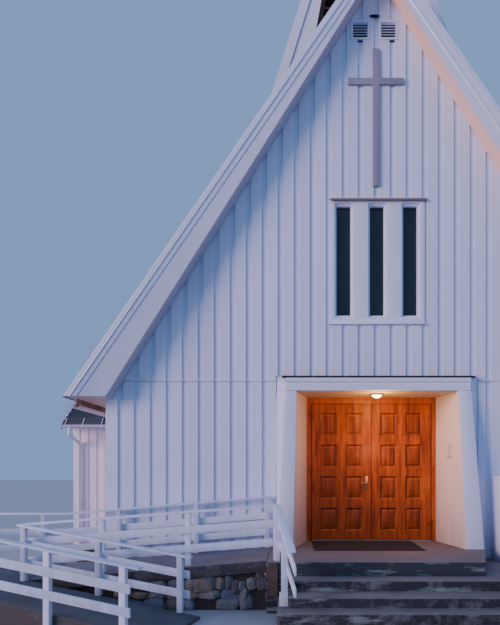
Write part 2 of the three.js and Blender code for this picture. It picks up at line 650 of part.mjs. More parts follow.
// Doorway surround
function portal() {
  const spring = FLOOR + PORTAL_SPRING;
  const top = FLOOR + PORTAL_TOP;
  const leanAt = (level) => PORTAL_LEAN_FOOT + (PORTAL_LEAN_TOP - PORTAL_LEAN_FOOT) * level / PORTAL_TOP;
  const outAt = (level) => PORTAL_OUT_FOOT + (PORTAL_OUT_TOP - PORTAL_OUT_FOOT) * level / PORTAL_TOP;
  const inAt = (name, y) => PORTAL_IN_BACK
    + (PORTAL_IN_FRONT[name] - PORTAL_IN_BACK) * (DOOR_PLANE - y) / (PORTAL_LEAN_FOOT + DOOR_PLANE);
  const behind = (name) => [[PORTAL_SIDE, 0], [PORTAL_SIDE, WALL], [inAt(name, WALL) + PORTAL_LINING, WALL],
    [PORTAL_IN_BACK + PORTAL_LINING, DOOR_PLANE]];
  for (const [name, side] of sides) {
    const section = (level) => mirrored([[inAt(name, -leanAt(level)), -leanAt(level)],
      [outAt(level), -leanAt(level)], ...behind(name), [PORTAL_IN_BACK, DOOR_PLANE]], side);
    add(`portal_jamb_${name}`, leaning(section(0), section(PORTAL_SPRING), FLOOR, spring), 'white_paint');
  }
  const plan = (level) => {
    const half = (name) => [[outAt(level), -leanAt(level)], ...behind(name)];
    return [...half('right'), ...mirrored(half('left'), -1).reverse()];
  };
  const lean = leanAt(PORTAL_TOP);
  const out = outAt(PORTAL_TOP);
  const crown = top + PORTAL_CROWN;
  add('portal_head', join([
    leaning(plan(PORTAL_SPRING), plan(PORTAL_TOP), spring, top),
    raised([[out, -lean], [PORTAL_SIDE, -GAP], [-PORTAL_SIDE, -GAP], [-out, -lean]], top - LET_IN, crown),
  ]), 'white_paint');
  const sheet = [[-FLASHING_REACH, crown], [-FLASHING_REACH, crown + FLASHING_THICKNESS],
    [-GAP, crown + 2 * FLASHING_THICKNESS], [-GAP, crown]];
  add('portal_flashing', alongX(sheet, -FLASHING_HALF, FLASHING_HALF), 'flashing');
}

// Door frame with a rebate, hinge knuckles and threshold
function doorFrame() {
  const outer = PORTAL_IN_BACK + PORTAL_LINING;
  const head = FLOOR + DOOR_HEAD + DOOR_CLEAR;
  const arch = (half, top) => [[-outer, FLOOR], [-half, FLOOR], [-half, top], [half, top], [half, FLOOR],
    [outer, FLOOR], [outer, FLOOR + FRAME_HEAD], [-outer, FLOOR + FRAME_HEAD]];
  const back = DOOR_PLANE + FRAME_DEPTH;
  const pieces = [
    alongY(arch(DOOR_HALF, head), DOOR_PLANE, back),
    alongY(arch(DOOR_HALF - STOP_COVER, head - STOP_COVER), DOOR_PLANE + STOP_DEPTH, back),
  ];
  for (const [, side] of sides) {
    for (const level of HINGE_LEVELS) pieces.push(...knuckle(side, level + HINGE_KNUCKLE + GAP, 1));
  }
  add('door_frame', join(pieces), 'door_timber');
  add('threshold', box(-DOOR_HALF, DOOR_HALF, DOOR_PLANE - STOP_COVER, DOOR_PLANE + STOP_DEPTH,
    FLOOR, FLOOR + THRESHOLD_HEIGHT), 'threshold');
}

// Half a hinge: `toward` is 1 on the frame and -1 on the leaf
function knuckle(side, level, toward) {
  const x = side * DOOR_HALF;
  const y = DOOR_PLANE - HINGE_RADIUS - GAP;
  const z = FLOOR + level;
  const barrel = new THREE.CylinderGeometry(HINGE_RADIUS, HINGE_RADIUS, HINGE_KNUCKLE, 2 * ARC_STEPS)
    .rotateX(Math.PI / 2).translate(x, y, z + HINGE_KNUCKLE / 2);
  const near = x + side * toward * DOOR_CLEAR;
  const far = x + side * toward * (DOOR_CLEAR + HINGE_PLATE);
  const plate = box(near, far, y - HINGE_RADIUS / 2, DOOR_PLANE + LET_IN, z, z + HINGE_KNUCKLE);
  return [barrel, plate];
}

// One leaf: sunk panels with raised fields, and its hinge halves
function doorLeaf(name, side) {
  const hinge = side * (DOOR_HALF - DOOR_CLEAR);
  const meeting = side * DOOR_CLEAR / 2;
  const width = DOOR_HALF - DOOR_CLEAR * 1.5;
  const height = DOOR_HEAD - DOOR_FOOT;
  const slab = box(meeting, hinge, DOOR_PLANE, DOOR_PLANE + DOOR_THICKNESS,
    FLOOR + DOOR_FOOT, FLOOR + DOOR_HEAD);
  const pockets = [];
  const fields = [];
  const panelWidth = (width - DOOR_STILE * (PANEL_COLUMNS + 1)) / PANEL_COLUMNS;
  const panelHeight = (height - DOOR_RAIL * (PANEL_ROWS + 1)) / PANEL_ROWS;
  for (let column = 0; column < PANEL_COLUMNS; column += 1) {
    for (let row = 0; row < PANEL_ROWS; row += 1) {
      const x0 = meeting + side * (DOOR_STILE + column * (panelWidth + DOOR_STILE));
      const z0 = FLOOR + DOOR_FOOT + DOOR_RAIL + row * (panelHeight + DOOR_RAIL);
      const x1 = x0 + side * panelWidth;
      pockets.push(box(x0, x1, DOOR_PLANE - 1, DOOR_PLANE + PANEL_SINK, z0, z0 + panelHeight));
      fields.push(box(x0 + side * PANEL_MARGIN, x1 - side * PANEL_MARGIN, DOOR_PLANE + LET_IN,
        DOOR_PLANE + PANEL_SINK + LET_IN, z0 + PANEL_MARGIN, z0 + panelHeight - PANEL_MARGIN));
    }
  }
  const hinges = HINGE_LEVELS.flatMap((level) => knuckle(side, level, -1));
  add(name, join([cut(slab, pockets), ...fields, ...hinges]), 'door_timber');
}

// Long plate, stem and lever on the left leaf by the meeting edge
function doorHandle() {
  const x = -DOOR_CLEAR / 2 - DOOR_STILE / 2;
  const face = DOOR_PLANE - GAP;
  const level = FLOOR + HANDLE_LEVEL;
  const bar = HANDLE_BAR_HALF;
  const tip = face - HANDLE_STEM;
  add('door_handle', join([
    box(x - HANDLE_PLATE_HALF, x + HANDLE_PLATE_HALF, face - HANDLE_PLATE_THICKNESS, face,
      level - HANDLE_PLATE_RISE, level + HANDLE_PLATE_RISE),
    box(x - bar, x + bar, tip, face - LET_IN, level - bar, level + bar),
    box(x - HANDLE_LEVER, x + bar + 1, tip - bar, tip + bar, level - bar, level + bar),
  ]), 'brass');
}

// Casing, sashes and glass of the front window group
function frontWindow() {
  const foot = FLOOR + CASING_FOOT;
  const head = FLOOR + CASING_HEAD;
  const slits = (grow) => slitOffsets().map((x) => rectangle(x - SLIT_HALF - grow, x + SLIT_HALF + grow,
    FLOOR + SLIT_FOOT - grow, FLOOR + SLIT_HEAD + grow));
  const opening = windowOpening() - GAP;
  const casing = alongY(rectangle(-CASING_HALF, CASING_HALF, foot, head), -CASING_STANDOUT, 0, slits(SASH));
  const lining = alongY(rectangle(-opening, opening, foot + CASING_EDGE + GAP, head - CASING_EDGE - GAP),
    -LET_IN, SASH_SETBACK + LET_IN, slits(SASH));
  const sashes = alongY(rectangle(-opening, opening, foot + CASING_EDGE + GAP, head - CASING_EDGE - GAP),
    SASH_SETBACK, WINDOW_DEPTH, slits(0));
  const wide = CASING_HALF + SILL_REACH;
  const sill = box(-wide, wide, -2 * CASING_STANDOUT, 0, foot - SILL_REACH, foot + LET_IN);
  const cap = box(-wide, wide, -2 * CASING_STANDOUT, 0, head - LET_IN, head + SILL_REACH);
  add('front_window_frame', join([casing, lining, sashes, sill, cap]), 'white_paint');
  add('front_window_glass', box(-opening, opening, WINDOW_DEPTH + GAP, WINDOW_DEPTH + GLASS,
    foot + CASING_EDGE + GAP, head - CASING_EDGE - GAP), 'glass');
}

// Louvred vents high in the gable
function vents() {
  for (const [name, side] of sides) {
    const near = VENT_NEAR + GAP;
    const far = VENT_FAR - GAP;
    const foot = FLOOR + VENT_FOOT + GAP;
    const head = FLOOR + VENT_HEAD - GAP;
    const rim = VENT_RIM;
    const across = (x) => VENTS_MIDDLE + side * x;
    const frame = (grow) => rectangle(across(near - grow), across(far + grow), foot - grow, head + grow);
    const [liningOuter, liningInner, casingOuter] = [frame(0), frame(-rim), frame(VENT_CASING)];
    const pieces = [alongY(liningOuter, -CASING_STANDOUT, WALL / 2, [liningInner]),
      alongY(casingOuter, -CASING_STANDOUT, 0, [liningInner])];
    const pitch = (head - foot - rim) / VENT_BLADES;
    for (let blade = 0; blade < VENT_BLADES; blade += 1) {
      const z = foot + rim / 2 + blade * pitch;
      const raised = z + VENT_BLADE_RISE;
      const section = [[VENT_BLADE_FRONT, z], [VENT_BLADE_FRONT, z + VENT_BLADE_THICKNESS],
        [VENT_BLADE_BACK, raised + VENT_BLADE_THICKNESS], [VENT_BLADE_BACK, raised]];
      pieces.push(alongX(section, across(near + rim / 2), across(far - rim / 2)));
    }
    add(`vent_${name}`, join(pieces), 'white_paint');
  }
}

function facadeCross() {
  const arm = FLOOR + CROSS_ARM_LEVEL;
  const half = CROSS_ARM_HEIGHT / 2;
  add('facade_cross', join([
    box(CROSS_MIDDLE - CROSS_BAR / 2, CROSS_MIDDLE + CROSS_BAR / 2, -CROSS_STANDOUT, 0,
      FLOOR + CROSS_FOOT, FLOOR + CROSS_HEAD),
    box(CROSS_MIDDLE - CROSS_ARM_HALF, CROSS_MIDDLE + CROSS_ARM_HALF, -CROSS_STANDOUT, 0,
      arm - half, arm + half),
  ]), 'cross_paint');
}

// Round ceiling lamp of the porch
function porchLamp() {
  const profile = Array.from({ length: ARC_STEPS + 1 }, (_, n) => {
    const angle = -Math.PI / 2 + (Math.PI / 2) * n / ARC_STEPS;
    return new THREE.Vector2(LAMP_RADIUS * Math.cos(angle), LAMP_DROP * Math.sin(angle));
  });
  profile[0].x = 0;
  profile.push(new THREE.Vector2(0, 0));
  const dome = new THREE.LatheGeometry(profile, 3 * ARC_STEPS).rotateX(Math.PI / 2);
  const lamp = geometryOf(solidOf(dome));
  add('porch_lamp', lamp.translate(LAMP_X, LAMP_Y, FLOOR + PORTAL_SPRING - GAP), 'lamp');
}

// Concrete platform slab, and the flight whose top step carries it
function platform() {
  add('entrance_platform', raised(PLATFORM_PLAN, STEPS_BASE, FLOOR), 'concrete');
  const back = PLATFORM_FRONT + LET_IN;
  const outline = [[back, 0], [back, STEPS_BASE]];
  STEP_LEVELS.forEach((level, step) => {
    const under = STEP_LEVELS[step + 1] ?? 0;
    outline.push([STEP_EDGES[step], level], [STEP_EDGES[step], under]);
  });
  add('entrance_steps', join([
    box(PLATFORM_LEFT, STEPS_RIGHT, PLATFORM_FRONT, 0, 0, STEPS_BASE),
    alongX(outline, STEPS_LEFT, STEPS_RIGHT),
    box(PAD_LEFT, STEPS_LEFT + LET_IN, PAD_FRONT, back, 0, PAD_TOP),
  ]), 'concrete');
}

function sideCabinet() {
  const foot = STEPS_BASE;
  const lid = CABINET_HEAD - CABINET_LID;
  add('side_cabinet', join([
    box(CABINET_LEFT, CABINET_RIGHT, -CABINET_DEPTH, 0, foot, lid + LET_IN),
    box(CABINET_LEFT - CABINET_LIP, CABINET_RIGHT + CABINET_LIP, -CABINET_DEPTH - CABINET_LIP, 0,
      lid, CABINET_HEAD),
  ]), 'white_paint');
}

// Ramp levels
const rampSlope = (FLOOR - LANDING_TOP) / (PLATFORM_LEFT - LANDING_RIGHT);
const upperTop = (x) => FLOOR + rampSlope * (x - PLATFORM_LEFT);
const lowerSlope = (LANDING_TOP - LOWER_END_TOP) / (LANDING_RIGHT - LOWER_END);
const lowerTop = (x) => LANDING_TOP + lowerSlope * (x - LANDING_RIGHT);

// A point at x on the line from one plan point to another, moved square to it by `aside`
function onLine([x0, y0], [x1, y1], x, aside) {
  const slope = (y1 - y0) / (x1 - x0);
  return [x, y0 + slope * (x - x0) + aside * Math.hypot(1, slope)];
}

function ramp() {
  const ground = () => 0;
  const upper = rectangle(LANDING_RIGHT, PLATFORM_LEFT, RAMP_FRONT, RAMP_BACK);
  add('ramp_upper', deck(upper, upperTop, (x) => upperTop(x) - RAMP_SLAB), 'concrete');
  add('ramp_landing', box(LANDING_LEFT, LANDING_RIGHT, LANDING_FRONT, RAMP_BACK,
    LANDING_TOP - RAMP_SLAB, LANDING_TOP), 'concrete');
  const left = LANDING_RIGHT + GAP;
  const inner = (x) => onLine(RETURN_START, RETURN_END, x, POST / 2 + DECK_CLEAR);
  const outer = (x) => onLine(OUTER_START, OUTER_END, x, POST / 2 + GAP);
  add('ramp_lower', deck([inner(left), inner(LOWER_END), outer(LOWER_END - 4 * BASE_INSET), outer(left)],
    lowerTop, ground), 'concrete');
  const base = rectangle(LANDING_RIGHT + GAP, PLATFORM_LEFT - GAP, RAMP_FRONT + BASE_INSET, RAMP_BACK);
  add('ramp_stone_base', deck(base, (x) => upperTop(x) - RAMP_SLAB - GAP, ground), 'stone');
  add('landing_stone_base', box(LANDING_LEFT + BASE_INSET, LANDING_RIGHT,
    LANDING_FRONT + BASE_INSET, RAMP_BACK, 0, LANDING_TOP - RAMP_SLAB), 'stone');
}

// A straight stretch of railing over a sloping line from `from` to `to`, each [x, y, level]
function railRun(from, to, boardSide, postsAt, footAt, options = {}) {
  const { reach = [0, 0], capReach = 0, top = RAIL_TOP } = options;
  const along = new THREE.Vector3(to[0] - from[0], to[1] - from[1], 0);
  const length = along.length();
  along.divideScalar(length);
  const across = new THREE.Vector3(-along.y, along.x, 0);
  const slope = (to[2] - from[2]) / length;
  const up = new THREE.Vector3(0, 0, 1);
  const sloped = new THREE.Matrix4().makeBasis(along.clone().setZ(slope), across, up).setPosition(...from);
  const level = new THREE.Matrix4().makeBasis(along, across, up).setPosition(from[0], from[1], 0);
  const [before, after] = reach;
  const start = -before;
  const end = length + after;
  const pieces = [box(start, end + capReach, -RAIL_CAP_HALF, RAIL_CAP_HALF, top - RAIL_CAP, top)];
  const near = boardSide * (POST / 2 - LET_IN);
  const far = near + boardSide * RAIL_BOARD_THICKNESS;
  for (const height of RAIL_BOARD_LEVELS) {
    pieces.push(box(start, end, near, far, height - RAIL_BOARD / 2, height + RAIL_BOARD / 2));
  }
  const members = pieces.map((piece) => piece.applyMatrix4(sloped));
  for (const s of postsAt) {
    const x = from[0] + along.x * s;
    const y = from[1] + along.y * s;
    const head = from[2] + slope * s + top - RAIL_CAP / 2;
    const post = box(s - POST / 2, s + POST / 2, -POST / 2, POST / 2, footAt(x, y), head);
    members.push(post.applyMatrix4(level));
  }
  return members;
}

// Foot of a post on a slope: the higher edge under it, plus the seat
const onSlope = (topAt) => (x) => Math.max(topAt(x - POST_REACH), topAt(x + POST_REACH)) + GAP;
const onLanding = () => LANDING_TOP + GAP;

function railings() {
  const onUpper = onSlope((x) => Math.max(upperTop(x), LANDING_TOP));
  const onRamp = (x) => (x > PLATFORM_LEFT ? FLOOR + GAP : onUpper(x));
  const onSteps = (x, y) => (y > PLATFORM_FRONT ? FLOOR : PAD_TOP) + GAP;
  const onGround = () => 0;
  const rail = (name, runs) => add(name, join(runs.flat()), 'white_paint');
  const knee = [LANDING_RIGHT, WALL_RAIL_Y, LANDING_TOP];
  rail('railing_wall', [
    railRun([PLATFORM_LEFT - POST_REACH, WALL_RAIL_Y, upperTop(PLATFORM_LEFT)], knee, -1, WALL_RAIL_POSTS,
      onSlope(upperTop), { reach: [120, 0], top: WALL_RAIL_TOP }),
    railRun(knee, [END_RAIL, WALL_RAIL_Y, LANDING_TOP], -1, WALL_LANDING_POSTS, onLanding,
      { reach: [LET_IN, 40], top: WALL_RAIL_TOP }),
  ]);
  rail('railing_front', [railRun([PLATFORM_LEFT + 115, FRONT_RAIL_Y, FLOOR],
    [RAIL_CORNER, FRONT_RAIL_Y, LANDING_TOP], 1, FRONT_RAIL_POSTS, onRamp, { reach: [POST / 2, POST / 2] })]);
  rail('railing_return', [railRun([...RETURN_START, LANDING_TOP], [...RETURN_END, lowerTop(RETURN_END[0])],
    1, RETURN_POSTS, onLower, { reach: [45, 135], capReach: 35 })]);
  const outerKnee = [...OUTER_START, LANDING_TOP];
  rail('railing_outer', [
    railRun([END_RAIL, OUTER_START[1], LANDING_TOP], outerKnee, -1, LANDING_RAIL_POSTS, onGround,
      { reach: [40, 0] }),
    railRun(outerKnee, [...OUTER_END, lowerTop(OUTER_END[0])], -1, OUTER_POSTS, onGround,
      { reach: [LET_IN, 138], capReach: 95 }),
  ]);
  rail('railing_end', [railRun([END_RAIL, WALL_RAIL_Y - 100, LANDING_TOP],
    [END_RAIL, OUTER_START[1] + 120, LANDING_TOP], 1, END_POSTS, onLanding)]);
  const [bootFront, bootBack] = STAIR_BOOT;
  const boot = box(bootFront[0], bootBack[0], bootFront[1], bootBack[1], PAD_TOP + GAP, STAIR_BOOT_HEAD);
  rail('railing_stair', [railRun([...STAIR_RAIL_TOP, FLOOR], [...STAIR_RAIL_FOOT, STAIR_RAIL_LEVEL],
    1, STAIR_POSTS, onSteps), boot]);
}

const onLower = (x) => (x < LANDING_RIGHT ? LANDING_TOP + GAP : onSlope(lowerTop)(x));

foundation();
floors();
frontWalls();
backWall();
sideWalls();
wings();
mainRoof();
bargeboards('front_bargeboards', -GABLE_OVERHANG - GAP, -1);
bargeboards('back_bargeboards', NAVE_LENGTH + GABLE_OVERHANG + GAP, 1);
tower();
portal();
doorFrame();
doorLeaf('door_left', -1);
doorLeaf('door_right', 1);
doorHandle();
frontWindow();
vents();
facadeCross();
porchLamp();
platform();
sideCabinet();
ramp();
railings();

export default church;
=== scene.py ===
"""A modern timber church at dusk: cladding, slates, panelled doors, railings and rubble on a fixed frame.

Metres, +Z up, the front faces -Y.
"""
import math

import bpy
import numpy as np
from mathutils import Matrix, Vector


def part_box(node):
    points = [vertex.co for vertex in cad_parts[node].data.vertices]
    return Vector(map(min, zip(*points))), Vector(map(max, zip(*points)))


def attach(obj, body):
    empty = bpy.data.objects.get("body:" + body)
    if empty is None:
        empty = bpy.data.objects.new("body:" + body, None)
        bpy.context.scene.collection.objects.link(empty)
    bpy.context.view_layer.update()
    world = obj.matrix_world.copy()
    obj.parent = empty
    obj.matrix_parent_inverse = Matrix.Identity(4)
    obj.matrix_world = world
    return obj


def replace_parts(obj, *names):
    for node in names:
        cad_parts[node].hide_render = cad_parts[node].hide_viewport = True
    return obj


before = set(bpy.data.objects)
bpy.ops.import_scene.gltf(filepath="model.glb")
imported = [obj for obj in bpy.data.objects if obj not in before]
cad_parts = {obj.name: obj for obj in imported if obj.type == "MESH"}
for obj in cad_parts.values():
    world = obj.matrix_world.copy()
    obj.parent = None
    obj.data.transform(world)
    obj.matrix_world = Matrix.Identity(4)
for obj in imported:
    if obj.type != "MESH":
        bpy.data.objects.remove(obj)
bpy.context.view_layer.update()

# Levels and planes of the building, read from the frame
gable_low, gable_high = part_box("front_gable")
verge_low, verge_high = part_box("front_bargeboards")
roof_low, roof_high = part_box("main_roof_left")
tower_low, tower_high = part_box("tower_side_right")
wing_low, wing_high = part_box("wing_walls_right")
window_low, window_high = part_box("front_window_frame")
leaf_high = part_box("door_right")[1]
head_low, head_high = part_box("portal_head")
FACE = gable_low.y
BACK_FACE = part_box("back_wall")[1].y
NAVE_HALF = gable_high.x
SPLIT = gable_low.z
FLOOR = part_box("porch_floor")[1].z
EAVE_HALF, EAVE, RIDGE = verge_high.x, verge_low.z, verge_high.z
RISE = (RIDGE - EAVE) / EAVE_HALF
SLOPE = math.atan(RISE)
WING_TILE_END, WING_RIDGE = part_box("wing_roof_right")[1].x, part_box("wing_roof_right")[1].z
WING_MIDDLE = (wing_low.y + wing_high.y) / 2
WING_RUN = 1.8
WING_INNER = (RIDGE - WING_RIDGE) / RISE
TURRET_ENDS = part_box("tower_front")[0].y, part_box("tower_back")[1].y
PORTAL_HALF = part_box("portal_jamb_right")[1].x
HAND = {-1: "left", 1: "right"}
DIAGONAL = math.sqrt(0.5)
OVER_ALL = 20.0

# Board-on-board cladding: covers stand on the boards of the walls
COVER_PITCH = 0.2388
COVER_WIDTH = 0.165
COVER_PROUD = 0.022
FIRST_COVER_EDGE = -3.6322
COVER_COUNT = 32
WING_PITCH = 0.1625
WING_WIDTH = 0.12
CORNER_WIDTH = 0.155
BOARD_SEAT = 0.003
BOARD_ROUNDING = 0.003
BOARD_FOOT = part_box("front_wall_left")[0].z - 0.02

# Slates, and the boxed overhangs along the gables
SLATE_WIDTH = 0.3
SLATE_EXPOSURE = 0.2
SLATE_OVERLAP = 0.14
WING_EXPOSURE = 0.11
SLATE_THICKNESS = 0.009
SLATE_LIFT = math.radians(2.4)
EAVE_LIP = 0.02
RIDGE_CAP_LIFT = 0.042
WING_CAP_LIFT = 0.024
VERGE_SET = 0.068
BARGE_TOP = 0.335
BARGE_FOOT = 3.966
SLAT_PITCH = 0.03

# Windows
SLIT_HALF = 0.1065
SASH_WIDTH = 0.03
CASING_PROUD = 0.03
CASING_SIDE, CASING_BELOW, CASING_ABOVE = 0.073, 0.094, 0.053
SILL_REACH = 0.02
GROUP = (-0.5, 0.0, 0.5)
PAIR = (-0.25, 0.25)
SIDE_SLITS = (FLOOR + 0.85, FLOOR + 2.0)
BACK_SLITS = (FLOOR + 3.424, FLOOR + 5.127)
SIDE_WINDOWS = (7.075, 9.925, 12.775)

# Doors and the doorway
FASCIA_HALF = 1.361
LEAF_THICKNESS = 0.045
STILE = 0.138
RAIL = 0.141
PANEL_ROWS = 4
PANEL_COLUMNS = 2
HINGE_LEVELS = (0.25, 1.1, 1.95)
HINGE_INSET = 0.010
KNUCKLE_REACH = 0.013
KNUCKLE_HEIGHT = 0.045
KNUCKLE_RADIUS = 0.0098


# Working on pieces by hand
def select_only(*chosen):
    bpy.ops.object.select_all(action="DESELECT")
    for piece in chosen:
        piece.select_set(True)
    bpy.context.view_layer.objects.active = chosen[0]


def added(primitive, **settings):
    """Adds a primitive or a lamp with nothing else selected."""
    bpy.ops.object.select_all(action="DESELECT")
    primitive(**settings)
    return bpy.context.object


def settle(piece):
    """Puts the piece's place, turn and size into its mesh."""
    select_only(piece)
    bpy.ops.object.transform_apply(location=True, rotation=True, scale=True)
    return piece


def block(corner, opposite):
    """A cube stretched between two opposite corners."""
    corner, opposite = Vector(corner), Vector(opposite)
    piece = added(bpy.ops.mesh.primitive_cube_add, size=1, location=(corner + opposite) / 2)
    piece.scale = [abs(size) for size in opposite - corner]
    return settle(piece)


def rod(start, end, radius, sides=16):
    """A round bar between two points."""
    start, end = Vector(start), Vector(end)
    piece = added(bpy.ops.mesh.primitive_cylinder_add, vertices=sides, radius=radius, depth=(end - start).length,
                  location=(start + end) / 2)
    piece.rotation_euler = (end - start).to_track_quat("Z", "Y").to_euler()
    return settle(piece)


def modify(piece, kind, **settings):
    select_only(piece)
    modifier = piece.modifiers.new(kind.title(), kind)
    for key, value in settings.items():
        setattr(modifier, key, value)
    bpy.ops.object.modifier_apply(modifier=modifier.name)
    return piece


def soften(piece, width, segments=2):
    return modify(piece, "BEVEL", width=width, segments=segments, limit_method="ANGLE",
                  angle_limit=math.radians(35))


def board(corner, opposite, width=BOARD_ROUNDING):
    """A sawn board or a thin plate with barely broken edges."""
    return soften(block(corner, opposite), width, 1)


def repeat(piece, count, step):
    return modify(piece, "ARRAY", count=count, use_relative_offset=False,
                  use_constant_offset=True, constant_offset_displace=step)


def cut_out(piece, *cutters):
    for cutter in cutters:
        modify(piece, "BOOLEAN", operation="DIFFERENCE", object=cutter, solver="EXACT")
        bpy.data.objects.remove(cutter)
    return piece


def edited(piece, operator, **settings):
    """Runs one edit-mode operator on the whole piece."""
    select_only(piece)
    bpy.ops.object.mode_set(mode="EDIT")
    bpy.ops.mesh.select_all(action="SELECT")
    operator(**settings)
    bpy.ops.object.mode_set(mode="OBJECT")
    return piece


def picked(piece, mode, parts, wanted):
    """Leaves the piece in edit mode with only those of its parts selected that the test picks."""
    edited(piece, bpy.ops.mesh.select_mode, type=mode)
    edited(piece, bpy.ops.mesh.select_all, action="DESELECT")
    for part in getattr(piece.data, parts):
        part.select = wanted(part)
    bpy.ops.object.mode_set(mode="EDIT")


def split(piece, point, normal, **settings):
    """Bisects the piece along a plane; without further settings it is only scored there."""
    return edited(piece, bpy.ops.mesh.bisect, plane_co=point, plane_no=Vector(normal).normalized(), **settings)


def trim(piece, point, normal):
    """Cuts off what lies beyond a plane, on the side that its normal points to."""
    return split(piece, point, normal, use_fill=True, clear_outer=True)


def join(*parts):
    select_only(*parts)
    if len(parts) > 1:
        bpy.ops.object.join()
    return bpy.context.object


def turned(piece, matrix):
    """Moves the piece's mesh by a matrix and keeps the object at the origin."""
    piece.matrix_world = matrix
    return settle(piece)


def moved(piece, x, y, z):
    return turned(piece, Matrix.Translation((x, y, z)))


def copied(piece, x=0.0):
    select_only(piece)
    bpy.ops.object.duplicate()
    return moved(bpy.context.object, x, 0, 0)


def mirrored(piece):
    """A copy on the other side of the middle line, with its faces turned out again."""
    twin = turned(copied(piece), Matrix.Diagonal((-1, 1, 1, 1)))
    return edited(twin, bpy.ops.mesh.normals_make_consistent, inside=False)


def with_twin(piece):
    return [piece, mirrored(piece)]


def mirrored_here(piece):
    twin = mirrored(piece)
    bpy.data.objects.remove(piece)
    return twin


def shaded(piece, values):
    """Gives each face its own value of `shade`."""
    layer = piece.data.attributes.new("shade", "FLOAT", "FACE")
    layer.data.foreach_set("value", np.array(values, dtype=np.float32))
    return piece


def shade_each(piece, units, seed):
    """Gives each of the equal units of a repeated piece its own value of `shade`."""
    values = np.random.default_rng(seed).random(units)
    return shaded(piece, np.repeat(values, len(piece.data.polygons) // units))


def placed(name, piece, material, slot="white_paint", body="church", smooth=None):
    """Names a finished piece, gives it its material, and lets it ride on its body."""
    piece.name = name
    piece.data.name = name
    piece.data.materials.clear()
    piece.data.materials.append(material)
    if smooth:
        select_only(piece)
        bpy.ops.object.shade_smooth_by_angle(angle=math.radians(smooth))
    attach(piece, body)
    return piece


def refined(node, width, material, slot="white_paint", segments=2, body="church"):
    """A copy of a CAD node with merged and softened edges, which stands for the node."""
    piece = bpy.data.objects.new(node + "_finish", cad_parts[node].data.copy())
    bpy.context.scene.collection.objects.link(piece)
    edited(piece, bpy.ops.mesh.remove_doubles, threshold=0.00001)
    edited(piece, bpy.ops.mesh.dissolve_limited, angle_limit=math.radians(0.5))
    soften(piece, width, segments)
    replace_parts(placed(node + "_finish", piece, material, slot, body, smooth=30), node)


# Working on materials
def feed(tree, socket, value):
    """Links a socket to another one, or sets it to a plain value."""
    if isinstance(value, bpy.types.NodeSocket):
        tree.links.new(value, socket)
    else:
        socket.default_value = value


def put(tree, kind, inputs=None, **settings):
    """Adds a shader node, feeds its inputs by name or number, and gives its outputs."""
    made = tree.nodes.new("ShaderNode" + kind)
    for key, value in settings.items():
        setattr(made, key, value)
    for key, value in (inputs or {}).items():
        feed(tree, made.inputs[key], value)
    return made.outputs


def reckon(tree, operation, *values):
    return put(tree, "Math", dict(enumerate(values)), operation=operation)[0]


def drawn_out(tree, place, stretch):
    return put(tree, "VectorMath", {0: place, 1: stretch}, operation="MULTIPLY")[0]


def parts_of(tree, vector):
    return put(tree, "SeparateXYZ", {0: vector})


def facing(tree):
    return parts_of(tree, put(tree, "NewGeometry")["Normal"])


def noise(tree, place, scale, detail, roughness=0.5):
    return put(tree, "TexNoise", {"Vector": place, "Scale": scale, "Detail": detail, "Roughness": roughness})[0]


def spread(tree, value, low=0.0, high=1.0, to_low=0.0, to_high=1.0):
    """Spreads the stretch from low to high over another one."""
    return put(tree, "MapRange", {"Value": value, "From Min": low, "From Max": high,
                                  "To Min": to_low, "To Max": to_high})[0]


def blend(tree, factor, one, other, kind="MIX"):
    return put(tree, "Mix", {0: factor, 6: one, 7: other}, data_type="RGBA", blend_type=kind)[2]


def effect(name, inputs, outputs):
    """An empty node group with named sockets: its tree, what it is given and what it puts out."""
    tree = bpy.data.node_groups.new(name, "ShaderNodeTree")
    for label, value in inputs.items():
        kind = {3: "Vector", 4: "Color"}[len(value)] if isinstance(value, tuple) else "Float"
        socket = tree.interface.new_socket(label, in_out="INPUT", socket_type="NodeSocket" + kind)
        socket.default_value = value
    for label, kind in outputs.items():
        tree.interface.new_socket(label, in_out="OUTPUT", socket_type="NodeSocket" + kind)
    return tree, tree.nodes.new("NodeGroupInput").outputs, tree.nodes.new("NodeGroupOutput").inputs


def grain_effect():
    """Streaks drawn out along one axis, coarse and fine."""
    tree, given, result = effect("grain", {"Vector": (0, 0, 0), "Stretch": (1, 1, 1)},
                                 {"Coarse": "Float", "Fine": "Float"})
    streaks = drawn_out(tree, given["Vector"], given["Stretch"])
    feed(tree, result["Coarse"], noise(tree, streaks, 1.0, 5.0, 0.55))
    feed(tree, result["Fine"], noise(tree, streaks, 5.0, 3.0, 0.6))
    return tree


def drift_effect():
    """Lightens or darkens a colour by the piece's own shade and by slow patches."""
    tree, given, result = effect("drift", {"Vector": (0, 0, 0), "Colour": (1, 1, 1, 1), "Shade": 0.5, "By Piece": 0.1,
                                           "By Patch": 0.1, "Patch Scale": 1.0}, {"Colour": "Color"})
    patch = noise(tree, given["Vector"], given["Patch Scale"], 4.0)
    factor = 1.0
    for value, key in ((given["Shade"], "By Piece"), (patch, "By Patch")):
        off = reckon(tree, "SUBTRACT", value, 0.5)
        factor = reckon(tree, "ADD", reckon(tree, "MULTIPLY", off, given[key]), factor)
    product = put(tree, "VectorMath", {0: given["Colour"], "Scale": factor}, operation="SCALE")[0]
    feed(tree, result["Colour"], product)
    return tree


